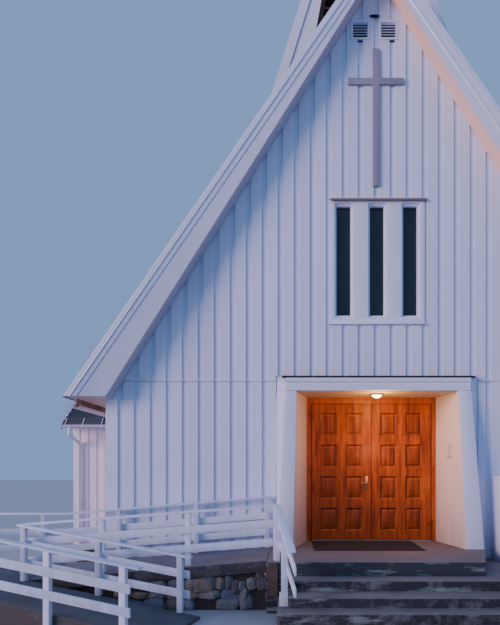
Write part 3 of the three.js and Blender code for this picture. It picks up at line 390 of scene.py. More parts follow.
def grime_effect():
    """A mask of run-down streaks and blotches, stronger towards a low level."""
    tree, given, result = effect("grime", {"Vector": (0, 0, 0), "Low": 0.3, "High": 2.0, "Everywhere": 0.15},
                                 {"Mask": "Float"})
    height = spread(tree, parts_of(tree, given["Vector"])[2], given["Low"], given["High"], 1.0, 0.0)
    level = reckon(tree, "MAXIMUM", height, given["Everywhere"])
    streaks = noise(tree, drawn_out(tree, given["Vector"], (7.0, 7.0, 1.1)), 1.0, 6.0, 0.65)
    feed(tree, result["Mask"], reckon(tree, "MULTIPLY", spread(tree, streaks, 0.42, 0.75), level))
    return tree


GRAIN = grain_effect()
DRIFT = drift_effect()
GRIME = grime_effect()


def drifted(tree, place, colour, by_piece, by_patch, scale):
    """A colour changed by the piece's `shade` and by patches."""
    shade = put(tree, "Attribute", attribute_name="shade")["Fac"]
    return put(tree, "Group", {"Vector": place, "Colour": colour, "Shade": shade, "By Piece": by_piece,
                               "By Patch": by_patch, "Patch Scale": scale}, node_tree=DRIFT)["Colour"]


def new_material(name):
    """A material, its node tree, its shader's sockets and the place on the piece."""
    material = bpy.data.materials.new(name)
    material.use_nodes = True
    tree = material.node_tree
    return material, tree, tree.nodes["Principled BSDF"].inputs, put(tree, "TexCoord")["Object"]


def dressed(tree, shader, tone, gloss, height=None, strength=0.0, distance=0.0):
    """Feeds a shader its colour, roughness and bump."""
    feed(tree, shader["Base Color"], tone)
    feed(tree, shader["Roughness"], gloss)
    if height is not None:
        bump = put(tree, "Bump", {"Height": height, "Strength": strength, "Distance": distance})
        feed(tree, shader["Normal"], bump[0])


def painted(name, colour, stretch, by_piece=0.0, everywhere=0.1, high=1.5):
    """Old paint on timber: faint grain, slow fading, and grime towards the ground."""
    material, tree, shader, place = new_material(name)
    grain = put(tree, "Group", {"Vector": place, "Stretch": stretch}, node_tree=GRAIN)
    grime = put(tree, "Group", {"Vector": place, "Low": 0.35, "High": high, "Everywhere": everywhere},
                node_tree=GRIME)["Mask"]
    tone = blend(tree, reckon(tree, "MULTIPLY", grime, 0.55), drifted(tree, place, colour, by_piece, 0.12, 0.9),
                 (0.30, 0.31, 0.33, 1))
    dressed(tree, shader, tone, spread(tree, grain["Coarse"], to_low=0.4, to_high=0.65), grain["Fine"], 0.25, 0.0015)
    return material


def below(tree, value, limit, softness=0.004):
    """A mask that is 1 below a limit and 0 above it."""
    return spread(tree, value, limit, limit + softness, 1.0, 0.0)


def tinted(material, mask_of, tint):
    """Multiplies a material's colour by a tint where a mask of its place says so."""
    tree = material.node_tree
    target = tree.nodes["Principled BSDF"].inputs["Base Color"]
    mask = mask_of(tree, parts_of(tree, put(tree, "TexCoord")["Object"]))
    feed(tree, target, blend(tree, mask, target.links[0].from_socket, tint, "MULTIPLY"))
    return material


def within(material, half, tint, top=OVER_ALL):
    """Tints a material where it lies this close to the building's middle and under `top`."""
    def mask(tree, place):
        across = below(tree, reckon(tree, "ABSOLUTE", place[0]), half)
        return reckon(tree, "MULTIPLY", across, below(tree, place[2], top))

    return tinted(material, mask, tint)


def painted_lamplight_inwards(material, tint):
    """Tints the faces that look towards the middle of the doorway; used for painted lamplight on the cheeks."""
    def mask(tree, place):
        return below(tree, reckon(tree, "MULTIPLY", place[0], facing(tree)[0]), -0.5, 0.2)

    return tinted(material, mask, tint)


def mineral(name, pale, dark, scale, depth=0.004, moss=None, moss_from=0.5, lime=None):
    """Concrete or stone: speckle, blotches, pits, and moss or lime on its upright faces."""
    material, tree, shader, place = new_material(name)
    blotch = noise(tree, place, scale, 6.0, 0.65)
    speck = noise(tree, place, scale * 22, 3.0, 0.7)
    base = blend(tree, spread(tree, blotch, 0.3, 0.7), dark, pale)
    tone = drifted(tree, place, base, 0.0, 0.5, scale * 20)
    growths = []
    if moss:
        growths.append((moss, noise(tree, place, scale * 2.3, 8.0, 0.72), moss_from - 0.22, moss_from))
    if lime:
        runs = drawn_out(tree, place, (1.6, 1.6, 9.0))
        growths.append((lime, noise(tree, runs, 1.0, 9.0, 0.7), 0.53, 0.64))
    for colour, growth, low, high in growths:
        upright = spread(tree, facing(tree)[2], 0.2, 0.9, 1.0, 0.12)
        mask = reckon(tree, "MULTIPLY", spread(tree, growth, low, high), upright)
        tone = blend(tree, mask, tone, colour)
    dressed(tree, shader, tone, 0.9, reckon(tree, "ADD", speck, blotch), 0.6, depth)
    return material


def rubble_material():
    """Field stones, some tan, some grey and some blue-grey, with dark speckle."""
    material, tree, shader, place = new_material("field_stone")
    kinds = put(tree, "ValToRGB", {0: put(tree, "Attribute", attribute_name="shade")["Fac"]})[0]
    colours = kinds.node.color_ramp
    colours.interpolation = "CONSTANT"
    colours.elements[0].color = (0.20, 0.205, 0.225, 1)
    colours.elements[1].position = 0.76
    colours.elements[1].color = (0.29, 0.225, 0.18, 1)
    for position, colour in ((0.22, (0.13, 0.12, 0.125, 1)), (0.42, (0.29, 0.27, 0.265, 1)),
                             (0.62, (0.18, 0.205, 0.275, 1))):
        colours.elements.new(position).color = colour
    speck = noise(tree, place, 38.0, 7.0, 0.7)
    tone = blend(tree, spread(tree, speck, 0.52, 0.72), drifted(tree, place, kinds, 0.0, 0.9, 9.0),
                 (0.035, 0.035, 0.042, 1))
    height = reckon(tree, "ADD", speck, noise(tree, place, 6.0, 5.0, 0.6))
    dressed(tree, shader, tone, 0.9, height, 0.7, 0.012)
    return material


def slate_material():
    """Dark slates, each with its own tone, with faint lichen."""
    material, tree, shader, place = new_material("slate_cover")
    lichen = spread(tree, noise(tree, place, 26.0, 6.0, 0.75), 0.62, 0.78)
    tone = blend(tree, lichen, drifted(tree, place, (0.058, 0.062, 0.080, 1), 0.9, 0.5, 1.4), (0.11, 0.115, 0.10, 1))
    cleft = noise(tree, place, 14.0, 8.0, 0.7)
    dressed(tree, shader, tone, spread(tree, cleft, to_low=0.45, to_high=0.85), cleft, 0.5, 0.003)
    return material


def varnished(name, pale, dark, stretch, rough):
    """Varnished timber with dark figure along the grain."""
    material, tree, shader, place = new_material(name)
    grain = put(tree, "Group", {"Vector": place, "Stretch": stretch}, node_tree=GRAIN)
    figure = blend(tree, spread(tree, grain["Coarse"], 0.35, 0.68), pale, dark)
    tone = blend(tree, spread(tree, grain["Fine"], 0.5, 0.8), drifted(tree, place, figure, 0.35, 0.45, 2.2), dark)
    gloss = spread(tree, grain["Fine"], to_low=rough - 0.06, to_high=rough + 0.12)
    dressed(tree, shader, tone, gloss, grain["Fine"], 0.3, 0.0008)
    shader["Specular IOR Level"].default_value = 0.28
    shader["Coat Weight"].default_value = 0.04
    return material


def metal(name, colour, metallic, rough):
    material, tree, shader, place = new_material(name)
    cloud = noise(tree, place, 9.0, 5.0, 0.6)
    gloss = spread(tree, cloud, to_low=rough - 0.08, to_high=rough + 0.15)
    dressed(tree, shader, drifted(tree, place, colour, 0.0, 0.3, 6.0), gloss, cloud, 0.15, 0.001)
    shader["Metallic"].default_value = metallic
    return material


def glazing():
    material, tree, shader, place = new_material("window_glass")
    film = spread(tree, noise(tree, place, 3.0, 4.0), to_low=0.02, to_high=0.07)
    dressed(tree, shader, drifted(tree, place, (0.012, 0.018, 0.03, 1), 0.0, 0.5, 2.0), film)
    shader["IOR"].default_value = 1.52
    return material


def lit_glass():
    material, tree, shader, place = new_material("opal_glass")
    dressed(tree, shader, (1.0, 0.93, 0.78, 1), 0.25)
    cloud = spread(tree, noise(tree, place, 12.0, 2.0), 0.3, 0.7)
    feed(tree, shader["Emission Color"], blend(tree, cloud, (1.0, 0.78, 0.42, 1), (1.0, 0.88, 0.6, 1)))
    shader["Emission Strength"].default_value = 9.0
    return material


# The pale paints below are white paint tinted lavender-blue; the tint is painted light, standing in for the blue dusk
# sky.
WHITE = (0.70, 0.76, 0.95, 1)
DRY_MOSS = (0.072, 0.066, 0.066, 1)
BOARD_GRAIN = (14.0, 14.0, 0.9)
FINE_GRAIN = (9.0, 9.0, 1.2)
LONG_GRAIN = (1.0, 12.0, 12.0)
DOOR_GRAIN = (16.0, 16.0, 1.6)
# The wing paints are pinker copies of the white paint; the pink is painted warm light on the wing walls.
WING_COVER_PAINTED_WARM_LIGHT = painted("wing_cover_painted_warm_light", (0.97, 0.85, 0.96, 1), BOARD_GRAIN, by_piece=0.09)
WING_PAINTED_WARM_LIGHT = painted("wing_board_painted_warm_light", (0.97, 0.84, 0.94, 1), BOARD_GRAIN, everywhere=0.12)
COVER_PAINT = painted("cover_board_paint", WHITE, BOARD_GRAIN, by_piece=0.09)
SMOOTH_PAINT = painted("smooth_paint", WHITE, FINE_GRAIN, everywhere=0.06)
WALL_PAINT = painted("wall_board_paint", (0.63, 0.69, 0.87, 1), BOARD_GRAIN, everywhere=0.12)
RAIL_PAINT = painted("railing_paint", (0.72, 0.80, 0.98, 1), (2.5, 12.0, 12.0), everywhere=0.3, high=1.2)
# Within 4.46 m of the middle the soffit paint is tinted peach: painted warm light on the soffits, while the gutters
# beyond keep the plain paint.
CEILING_PAINTED_WARM_LIGHT = within(painted("soffit_paint", (0.75, 0.72, 0.86, 1), LONG_GRAIN, by_piece=0.3), 4.46,
                       (1.307, 0.917, 0.651, 1))
# The left soffit boards take a darker, bluer paint: painted shade on the underside that faces away from the warm
# light.
SHADED_PAINT = painted("left_soffit_painted_shade", (0.46, 0.47, 0.56, 1), LONG_GRAIN)
PORCH_PAINT = painted("porch_ceiling_paint", (0.55, 0.42, 0.30, 1), (1.6, 12.0, 12.0), by_piece=0.2)
CROSS_PAINT = painted("cross_paint", (0.26, 0.275, 0.36, 1), (10.0, 10.0, 1.0), everywhere=0.2)
# The doorway's cheeks are tinted warm: painted lamplight.
PORTAL_PAINT = painted_lamplight_inwards(painted("portal_paint_with_painted_lamplight", WHITE, FINE_GRAIN, everywhere=0.06), (1.0, 0.77, 0.585, 1))
SLATES = slate_material()
ROOF_DARK = metal("ridge_sheet", (0.035, 0.042, 0.055, 1), 0.4, 0.5)
CONCRETE = mineral("weathered_concrete", (0.29, 0.27, 0.30, 1), (0.16, 0.155, 0.185, 1), 1.6, moss=DRY_MOSS)
LANDING_CONCRETE = mineral("landing_concrete", (0.15, 0.155, 0.178, 1), (0.086, 0.088, 0.105, 1), 1.6,
                           moss=DRY_MOSS)
STEP_CONCRETE = mineral("mossy_concrete", (0.205, 0.20, 0.225, 1), (0.12, 0.12, 0.14, 1), 1.9,
                        moss=(0.02, 0.026, 0.036, 1), lime=(0.19, 0.24, 0.27, 1))
SLAB_CONCRETE = mineral("porch_concrete", (0.25, 0.21, 0.215, 1), (0.16, 0.14, 0.15, 1), 1.3,
                        moss=(0.034, 0.041, 0.058, 1), moss_from=0.4, lime=(0.22, 0.27, 0.31, 1))
RUBBLE = rubble_material()
CHEEK_STONE = mineral("tan_cheek", (0.12, 0.085, 0.075, 1), (0.07, 0.052, 0.045, 1), 6.0)
BED = mineral("stone_bed", (0.06, 0.052, 0.048, 1), (0.03, 0.026, 0.025, 1), 5.0, depth=0.01)
# Darkened within 5 mm of the middle: a painted shadow in the gap between the two leaves.
DOOR_TIMBER = within(varnished("door_varnish_with_painted_shade", (0.46, 0.098, 0.008, 1), (0.16, 0.026, 0.003, 1), DOOR_GRAIN, 0.42),
                     0.005, (0.36, 0.26, 0.25, 1))
# Darkened next to the leaves' sides and top: a painted shadow in the gap round the leaves.
FRAME_TIMBER = within(varnished("frame_varnish_with_painted_shade", (0.66, 0.16, 0.024, 1), (0.33, 0.065, 0.01, 1), DOOR_GRAIN, 0.42),
                      leaf_high.x + 0.008, (0.42, 0.33, 0.30, 1), leaf_high.z + 0.008)
LOUVRE_TIMBER = varnished("louvre_stain", (0.22, 0.105, 0.06, 1), (0.09, 0.04, 0.025, 1), (1.2, 12.0, 12.0), 0.6)
SLAT_TIMBER = varnished("slat_stain", (0.34, 0.22, 0.15, 1), (0.20, 0.12, 0.08, 1), (12.0, 12.0, 1.2), 0.6)
FLOOR_TIMBER = varnished("floor_oil", (0.38, 0.24, 0.13, 1), (0.22, 0.12, 0.06, 1), (7.0, 0.8, 7.0), 0.5)
BRASS = metal("polished_brass", (0.42, 0.27, 0.15, 1), 0.9, 0.36)
WHITE_METAL = metal("gutter_enamel", (0.74, 0.75, 0.80, 1), 0.0, 0.35)
DARK_METAL = metal("dark_sheet", (0.02, 0.022, 0.028, 1), 0.6, 0.45)
BROWN_METAL = metal("brown_sheet", (0.18, 0.14, 0.155, 1), 0.1, 0.5)
BARE_METAL = metal("worn_aluminium", (0.55, 0.53, 0.50, 1), 0.9, 0.4)
VERGE_METAL = metal("verge_sheet", (0.42, 0.55, 0.74, 1), 0.1, 0.45)
BRIGHT_METAL = metal("drip_edge_metal", (0.90, 0.93, 1.0, 1), 0.75, 0.36)
MAT_FIBRE = mineral("mat_fibre", (0.03, 0.03, 0.035, 1), (0.014, 0.014, 0.017, 1), 40.0, depth=0.003)
GLASS = glazing()
LAMP_GLASS = lit_glass()


# Cladding
def cladding(name, plane, away, foot, head, holes=(), under_roof=False):
    """Cover boards and corner boards of a wall that faces the front or the back."""
    near, far = plane - away * BOARD_SEAT, plane + away * COVER_PROUD
    cover = board((FIRST_COVER_EDGE - COVER_WIDTH, near, foot), (FIRST_COVER_EDGE, far, head))
    covers = shade_each(repeat(cover, COVER_COUNT, (COVER_PITCH, 0, 0)), COVER_COUNT, 35)
    cut_out(covers, *holes)
    corners = [shade_each(board((side * (NAVE_HALF + COVER_PROUD), near, foot),
                                (side * (NAVE_HALF - CORNER_WIDTH), far + away * 0.004, head)), 1, 5)
               for side in (-1, 1)]
    piece = join(covers, *corners)
    if under_roof:
        for side in (-1, 1):
            trim(piece, (0, 0, RIDGE - BARGE_TOP - 0.004), (side * (RIDGE - BARGE_TOP - EAVE) / BARGE_FOOT, 0, 1))
    placed(name, piece, COVER_PAINT)


def drip_strip(gap_half):
    """Thin bent strip that throws water off the joint between upper and lower boards."""
    strips = [board((side * gap_half, FACE, SPLIT - 0.004),
                    (side * (NAVE_HALF + COVER_PROUD), FACE - COVER_PROUD - 0.012, SPLIT + 0.006), 0.001)
              for side in (-1, 1)]
    placed("front_drip_strip", join(*strips), WHITE_METAL)


def clearance(box, plane, grow):
    """A block through a wall, a little larger than what stands in it."""
    low, high = box
    return block((low.x - grow, plane - 1, low.z - grow), (high.x + grow, plane + 1, high.z + grow))


def front_and_back():
    window = window_low, window_high
    holes = [clearance(window, FACE, 0.004)]
    holes += [clearance(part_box(vent), FACE, 0.003) for vent in ("vent_left", "vent_right")]
    holes += [block((-PORTAL_HALF - 0.01, -2, 0),
                    (PORTAL_HALF + 0.01, 1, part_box("portal_flashing")[1].z + 0.004))]
    upper, lower = (SPLIT + 0.008, RIDGE), (BOARD_FOOT, SPLIT - 0.006)
    gap = PORTAL_HALF + 0.006
    cladding("gable_cover_boards", FACE, -1, *upper, holes, True)
    cladding("front_cover_boards", FACE, -1, *lower, [block((-gap, FACE - 1, -1), (gap, FACE + 1, 9))])
    drip_strip(gap)
    cladding("back_gable_cover_boards", BACK_FACE, 1, *upper, [clearance(window, BACK_FACE, 0.004)], True)
    cladding("back_cover_boards", BACK_FACE, 1, *lower)


front_and_back()


# Roof covering
def axes_at(origin, across, along, out):
    """Lays local X, Y and Z along three directions from a point."""
    return Matrix.Translation(Vector(origin)) @ Matrix((across, along, out)).transposed().to_4x4()


def slope_matrix(origin, across, up):
    """Local X runs along the eave, Y up the slope and Z out of the roof."""
    across, up = Vector(across).normalized(), Vector(up).normalized()
    return axes_at(origin, across, up, across.cross(up))


def wing_slope(x, front):
    """The same on the front or the back slope of the right wing, from a point of its eave."""
    return slope_matrix((x, WING_MIDDLE - front * WING_RUN, WING_RIDGE - WING_RUN), (front, 0, 0),
                        (0, front * DIAGONAL, DIAGONAL))


def slate(width, along, up, exposure):
    """One slate, tipped so that it lies on the courses below it."""
    piece = block((0.002, 0, 0), (width - 0.002, exposure + SLATE_OVERLAP, SLATE_THICKNESS))
    piece.rotation_euler = (-SLATE_LIFT, 0, 0)
    piece.location = (along, up, SLATE_THICKNESS * 1.6)
    return settle(piece)


def drop_slates(field, keep):
    """Deletes the slates whose middle the test doesn't keep."""
    corners = np.empty(len(field.data.vertices) * 3)
    field.data.vertices.foreach_get("co", corners)
    wanted = [keep(*middle) for middle in corners.reshape(-1, 8, 3).mean(axis=1)]
    picked(field, "FACE", "polygons", lambda face: not wanted[face.index // 6])
    bpy.ops.mesh.delete(type="FACE")
    bpy.ops.object.mode_set(mode="OBJECT")


def slate_field(length, height, keep=None, exposure=SLATE_EXPOSURE):
    """Overlapping slates on the XY plane, broken-bonded, cut to the field's edges."""
    columns = round(length / SLATE_WIDTH)
    width = length / columns
    rows = math.ceil((height - EAVE_LIP) / exposure)
    whole = repeat(slate(width, 0, -EAVE_LIP, exposure), columns, (width, 0, 0))
    broken = repeat(slate(width, -width / 2, exposure - EAVE_LIP, exposure), columns + 1, (width, 0, 0))
    odd = repeat(whole, math.ceil(rows / 2), (0, 2 * exposure, 0))
    even = repeat(broken, rows // 2, (0, 2 * exposure, 0))
    field = join(odd, even)
    if keep:
        drop_slates(field, keep)
    shade_each(field, len(field.data.polygons) // 6, columns)
    for point, normal in (((0, 0, 0), (-1, 0, 0)), ((length, 0, 0), (1, 0, 0)), ((0, height, 0), (0, 1, 0))):
        trim(field, point, normal)
    return field


def main_slates(side):
    """Slates of one slope, left out under the turret and the wing roof."""
    def keep(along, up, out):
        y = roof_low.y + along if side > 0 else roof_high.y - along
        x, z = EAVE_HALF - up * math.cos(SLOPE), EAVE + up * math.sin(SLOPE)
        off = abs(y - WING_MIDDLE)
        if off < WING_RUN and z < WING_RIDGE - off - 0.1:
            return False
        return not (tower_low.y - 0.02 < y < tower_high.y + 0.02 and x < tower_high.x - 0.12)

    field = slate_field(roof_high.y - roof_low.y, math.hypot(EAVE_HALF, RIDGE - EAVE), keep)
    start = (side * EAVE_HALF, roof_low.y if side > 0 else roof_high.y, EAVE)
    turned(field, slope_matrix(start, (0, side, 0), (-side * math.cos(SLOPE), 0, math.sin(SLOPE))))
    placed(f"main_slates_{HAND[side]}", field, SLATES, "slate")


def wing_slates(side):
    """Slates of the small slopes over a wing, from the valley outwards."""
    length = WING_TILE_END - WING_INNER
    fields = []
    for front in (1, -1):
        def keep(along, up, out, inwards=side * front < 0):
            x = WING_INNER + (length - along if inwards else along)
            return WING_RIDGE - WING_RUN + up * DIAGONAL > RIDGE - RISE * x - 0.05

        field = slate_field(length, WING_RUN / DIAGONAL, keep, WING_EXPOSURE)
        fields.append(turned(field, wing_slope(side * (WING_INNER if side * front > 0 else WING_TILE_END), front)))
    placed(f"wing_slates_{HAND[side]}", join(*fields), SLATES, "slate")


def turret_slates(side):
    foot, apex = Vector((tower_high.x, 0, tower_low.z)), Vector((0, 0, tower_high.z))
    near, far = TURRET_ENDS
    field = slate_field(far - near, (apex - foot).length)
    start = (side * foot.x, near if side > 0 else far, foot.z)
    turned(field, slope_matrix(start, (0, side, 0), (-side * foot.x, 0, apex.z - foot.z)))
    placed(f"turret_slates_{HAND[side]}", field, SLATES, "slate")


for SIDE in (-1, 1):
    main_slates(SIDE)
    wing_slates(SIDE)
    turret_slates(SIDE)


# Walls that face sideways: boards are made facing the front and turned to their wall
def wall_matrix(origin, outward):
    """Local -Y turns to face outward, with Z still up."""
    inward = -Vector(outward)
    return axes_at(origin, inward.cross(Vector((0, 0, 1))), inward, (0, 0, 1))


def cover_run(length, pitch, width, foot, head):
    """Cover boards over a length of wall, on the plane Y = 0."""
    count = int((length - width) / pitch)
    start = (length - (count - 1) * pitch - width) / 2
    cover = board((start, -COVER_PROUD, foot), (start + width, BOARD_SEAT, head))
    return shade_each(repeat(cover, count, (pitch, 0, 0)), count, 11 + count)


def window_casing(offsets, foot, head):
    """Casing, sill, drip cap and sashes of a group of slits, on the plane Y = 0."""
    reach = SLIT_HALF + SASH_WIDTH
    half = max(offsets) + reach + CASING_SIDE
    low, high = foot - CASING_BELOW, head + CASING_ABOVE
    parts = [cut_out(block((-half, -CASING_PROUD, low), (half, 0.006, high)),
                     *[block((x - reach, -1, foot), (x + reach, 1, head)) for x in offsets])]
    for x in offsets:
        sash = block((x - reach - 0.004, 0.004, foot - 0.004), (x + reach + 0.004, 0.045, head + 0.004))
        hole = block((x - SLIT_HALF, -1, foot + SASH_WIDTH), (x + SLIT_HALF, 1, head - SASH_WIDTH))
        parts.append(cut_out(sash, hole))
    for bottom, top in ((low - SILL_REACH, low + 0.004), (high - 0.004, high + SILL_REACH)):
        parts.append(block((-half - SILL_REACH, -0.06, bottom), (half + SILL_REACH, 0.003, top)))
    return soften(join(*parts), 0.003)


def window_hole(middle, offsets):
    """A block through the boards, a little larger than a casing with its sill and drip cap."""
    half = max(offsets) + SLIT_HALF + SASH_WIDTH + CASING_SIDE + 0.003
    low = SIDE_SLITS[0] - CASING_BELOW - SILL_REACH - 0.004
    high = SIDE_SLITS[1] + CASING_ABOVE + SILL_REACH + 0.004
    return block((middle - half, -1, low), (middle + half, 1, high))


def nave_side(side):
    """Boards and casings along one long wall, in front of the wing and behind it."""
    matrix = wall_matrix((side * NAVE_HALF, 0, 0), (side, 0, 0))
    head = EAVE - 0.002
    parts = []
    for start, end in ((FACE + 0.15, wing_low.y), (wing_high.y, BACK_FACE - 0.15)):
        covers = cover_run(end - start, COVER_PITCH, COVER_WIDTH, BOARD_FOOT, head)
        moved(covers, start if side > 0 else -end, 0, 0)
        parts.append(cut_out(covers, *[window_hole(side * y, GROUP) for y in SIDE_WINDOWS if start < y < end]))
    for start in (FACE - COVER_PROUD, BACK_FACE + COVER_PROUD - CORNER_WIDTH):
        corner = board((side * start, -COVER_PROUD - 0.004, BOARD_FOOT),
                       (side * (start + CORNER_WIDTH), BOARD_SEAT, head))
        parts.append(shade_each(corner, 1, 7))
    placed(f"side_cover_boards_{HAND[side]}", turned(join(*parts), matrix), COVER_PAINT)
    casing = window_casing(GROUP, *SIDE_SLITS)
    casings = [copied(casing, side * y) for y in SIDE_WINDOWS[1:]]
    moved(casing, side * SIDE_WINDOWS[0], 0, 0)
    placed(f"side_window_casings_{HAND[side]}", turned(join(casing, *casings), matrix), SMOOTH_PAINT)


def wing_cladding(side):
    """Narrower boards round the three walls of a wing, with a casing in its end wall."""
    count, edge = 7, 5.309
    soffit = WING_RIDGE - WING_RUN - 0.036
    parts = []
    for plane, away in ((wing_low.y, -1), (wing_high.y, 1)):
        near, far = plane - away * BOARD_SEAT, plane + away * COVER_PROUD
        cover = board((edge - WING_PITCH, near, BOARD_FOOT), (edge - WING_PITCH + WING_WIDTH, far, soffit))
        covers = shade_each(repeat(cover, count, (-WING_PITCH, 0, 0)), count, 21)
        corner = board((edge, near - away * 0.003, BOARD_FOOT),
                       (wing_high.x + COVER_PROUD, far + away * 0.003, soffit))
        both = join(covers, shade_each(corner, 1, 8))
        parts.append(mirrored_here(both) if side < 0 else both)
    ends = cover_run(wing_high.y - wing_low.y - 0.16, WING_PITCH, WING_WIDTH, BOARD_FOOT, WING_RIDGE)
    moved(ends, (wing_low.y if side > 0 else -wing_high.y) + 0.08, 0, 0)
    cut_out(ends, window_hole(side * WING_MIDDLE, PAIR))
    for slope in (-1, 1):
        trim(ends, (side * WING_MIDDLE, 0, WING_RIDGE - 0.204), (slope, 0, 1))
    matrix = wall_matrix((side * wing_high.x, 0, 0), (side, 0, 0))
    placed(f"wing_cover_boards_{HAND[side]}", join(*parts, turned(ends, matrix)), WING_COVER_PAINTED_WARM_LIGHT)
    casing = moved(window_casing(PAIR, *SIDE_SLITS), side * WING_MIDDLE, 0, 0)
    placed(f"wing_window_casing_{HAND[side]}", turned(casing, matrix), SMOOTH_PAINT)


for SIDE in (-1, 1):
    nave_side(SIDE)
    wing_cladding(SIDE)
placed("back_window_casing", turned(window_casing(GROUP, *BACK_SLITS), wall_matrix((0, BACK_FACE, 0), (0, 1, 0))),
       SMOOTH_PAINT)


# Edges of the roofs
def edge_strip(start, end, ys, inner, outer):
    """A bar along a line that falls to the right, from `inner` below it to `outer` above it."""
    start, end = Vector(start), Vector(end)
    along = (end - start).normalized()
    bar = block((-0.3, ys[0], -inner), ((end - start).length + 0.3, ys[1], outer))
    turned(bar, axes_at(start, along, (0, 1, 0), along.cross(Vector((0, 1, 0)))))
    return trim(trim(bar, (0, 0, 0), (-1, 0, 0)), end, (0, 0, -1))


def rake_strips(name, plane, away):
    """Bright drip edges: under the trim board on the right slope and under the verge board on the left."""
    edges = []
    for depth, inner, outer in ((0.064, 0.304, 0.270), (0.073, 0.146, 0.114)):
        strip = edge_strip((0, 0, RIDGE), (EAVE_HALF, 0, EAVE), (plane, plane + away * depth),
                           inner * math.cos(SLOPE), -outer * math.cos(SLOPE))
        edges.append(soften(strip, 0.007, 3))
    placed(name + "_drip_edge", join(edges[0], mirrored_here(edges[1])), BRIGHT_METAL)


def soffit_boards(name, near, far):
    """Three planks along the underside of each boxed overhang; the left planks take a darker paint as painted shade,
    the right ones the soffit paint with its painted warm light.
    """
    width = (far - near) / 3
    left, right = [], []
    for n in range(3):
        ys = (near + n * width + 0.003, near + (n + 1) * width - 0.003)
        plank = edge_strip((0, 0, RIDGE - BARGE_TOP), (BARGE_FOOT, 0, EAVE), ys, 0.010, 0.002)
        right.append(shaded(plank, [0.5] * len(plank.data.polygons)))
        left.append(mirrored(plank))
    placed(name + "_left", soften(join(*left), 0.002, 1), SHADED_PAINT)
    placed(name + "_right", soften(join(*right), 0.002, 1), CEILING_PAINTED_WARM_LIGHT)


def ridge_cap(half, length, fall):
    """One sheet bent over a ridge that runs along Y, with a lapped end."""
    sheet = block((-half, 0, 0.004), (half, length, 0.010))
    lap = block((-half - 0.004, length - 0.07, 0.009), (half + 0.004, length + 0.01, 0.016))
    cap = join(*[split(part, (0, 0, 0), (1, 0, 0)) for part in (sheet, lap)])
    for side in (-1, 1):
        picked(cap, "VERT", "vertices", lambda vertex: vertex.co.x * side > half / 2)
        bpy.ops.transform.translate(value=(0, 0, -half * fall))
        bpy.ops.object.mode_set(mode="OBJECT")
    return soften(cap, 0.002, 1)


def cap_row(start, end, half, fall, pitch=1.2):
    count = max(1, round((end - start) / pitch))
    length = (end - start) / count
    row = repeat(ridge_cap(half, length, fall), count, (0, length, 0))
    return moved(trim(row, (0, end - start, 0), (0, 1, 0)), 0, start, 0)


def ridge_caps():
    rows = [cap_row(start, end, 0.13, RISE) for start, end in (
        (roof_low.y - 0.02, tower_low.y - 0.06), (tower_high.y + 0.06, roof_high.y + 0.02))]
    placed("ridge_caps", moved(join(*rows), 0, 0, RIDGE + RIDGE_CAP_LIFT), ROOF_DARK, "slate")
    place = Matrix.Translation((0, WING_MIDDLE, WING_RIDGE + WING_CAP_LIFT))
    wings = [turned(cap_row(WING_INNER + 0.06, WING_TILE_END - 0.158, 0.10, 1.0, 1.0),
                    place @ Matrix.Rotation(math.radians(-90 * side), 4, "Z")) for side in (-1, 1)]
    placed("wing_ridge_caps", join(*wings), ROOF_DARK, "slate")


def turret_strips():
    """White boards up the turret's corners, over the edges of its slates."""
    front, back = TURRET_ENDS
    parts = []
    for ys in ((front - 0.022, front + 0.004), (back - 0.004, back + 0.022)):
        strip = edge_strip((0, 0, tower_high.z), (tower_high.x, 0, tower_low.z), ys, 0.10, 0.045)
        parts += with_twin(soften(strip, 0.003))
    placed("turret_corner_boards", join(*parts), SMOOTH_PAINT)


def wing_verges():
    """Light metal strips on the ends of the wing roofs, stepped narrower over the lowest courses."""
    length = WING_RUN / DIAGONAL
    parts = []
    for front in (1, -1):
        steps = [block((-0.03 - 0.024 * n, n * WING_EXPOSURE if n else -0.02, 0.014),
                       (0.02, (n + 1) * WING_EXPOSURE + 0.002, 0.032)) for n in range(5)]
        steps.append(block((-0.157, 5 * WING_EXPOSURE, 0.014), (0.02, length, 0.032)))
        steps.append(block((0.004, -0.02, -0.11), (0.02, length, 0.026)))
        strip = soften(join(*steps), 0.003, 1)
        strip = mirrored_here(strip) if front < 0 else strip
        parts += with_twin(turned(strip, wing_slope(WING_TILE_END, front)))
    placed("wing_verge_strips", join(*parts), VERGE_METAL)


def gutter_straps():
    """Flat straps that hold the wing gutters to the slope."""
    parts = []
    for x in (4.45, 4.771, 5.118, 5.44):
        for front in (1, -1):
            strap = board((-0.0075, -0.12, 0.030), (0.0075, 0.15, 0.034), 0.001)
            parts += with_twin(turned(strap, wing_slope(x, front)))
    placed("gutter_straps", join(*parts), WHITE_METAL)


def downpipe():
    """Swan neck and pipe from the wing's front gutter down its wall."""
    x, y = -5.295, 2.468
    points = [(-5.355, 2.106, 2.58), (-5.355, 2.106, 2.43), (x, y, 2.28), (x, y, 0.30), (x, 2.38, 0.22)]
    parts = [rod(one, other, 0.033) for one, other in zip(points, points[1:])]
    parts += [settle(added(bpy.ops.mesh.primitive_uv_sphere_add, segments=16, ring_count=8, radius=0.0335,
                           location=point)) for point in points[1:4]]
    for level in (2.20, 1.10, 0.42):
        parts.append(soften(rod((x, y, level), (x, y, level + 0.05), 0.037), 0.002, 1))
        parts.append(block((x - 0.012, y, level + 0.015), (x + 0.012, wing_low.y + 0.002, level + 0.035)))
    placed("downpipes", join(*with_twin(join(*parts))), WHITE_METAL, smooth=35)


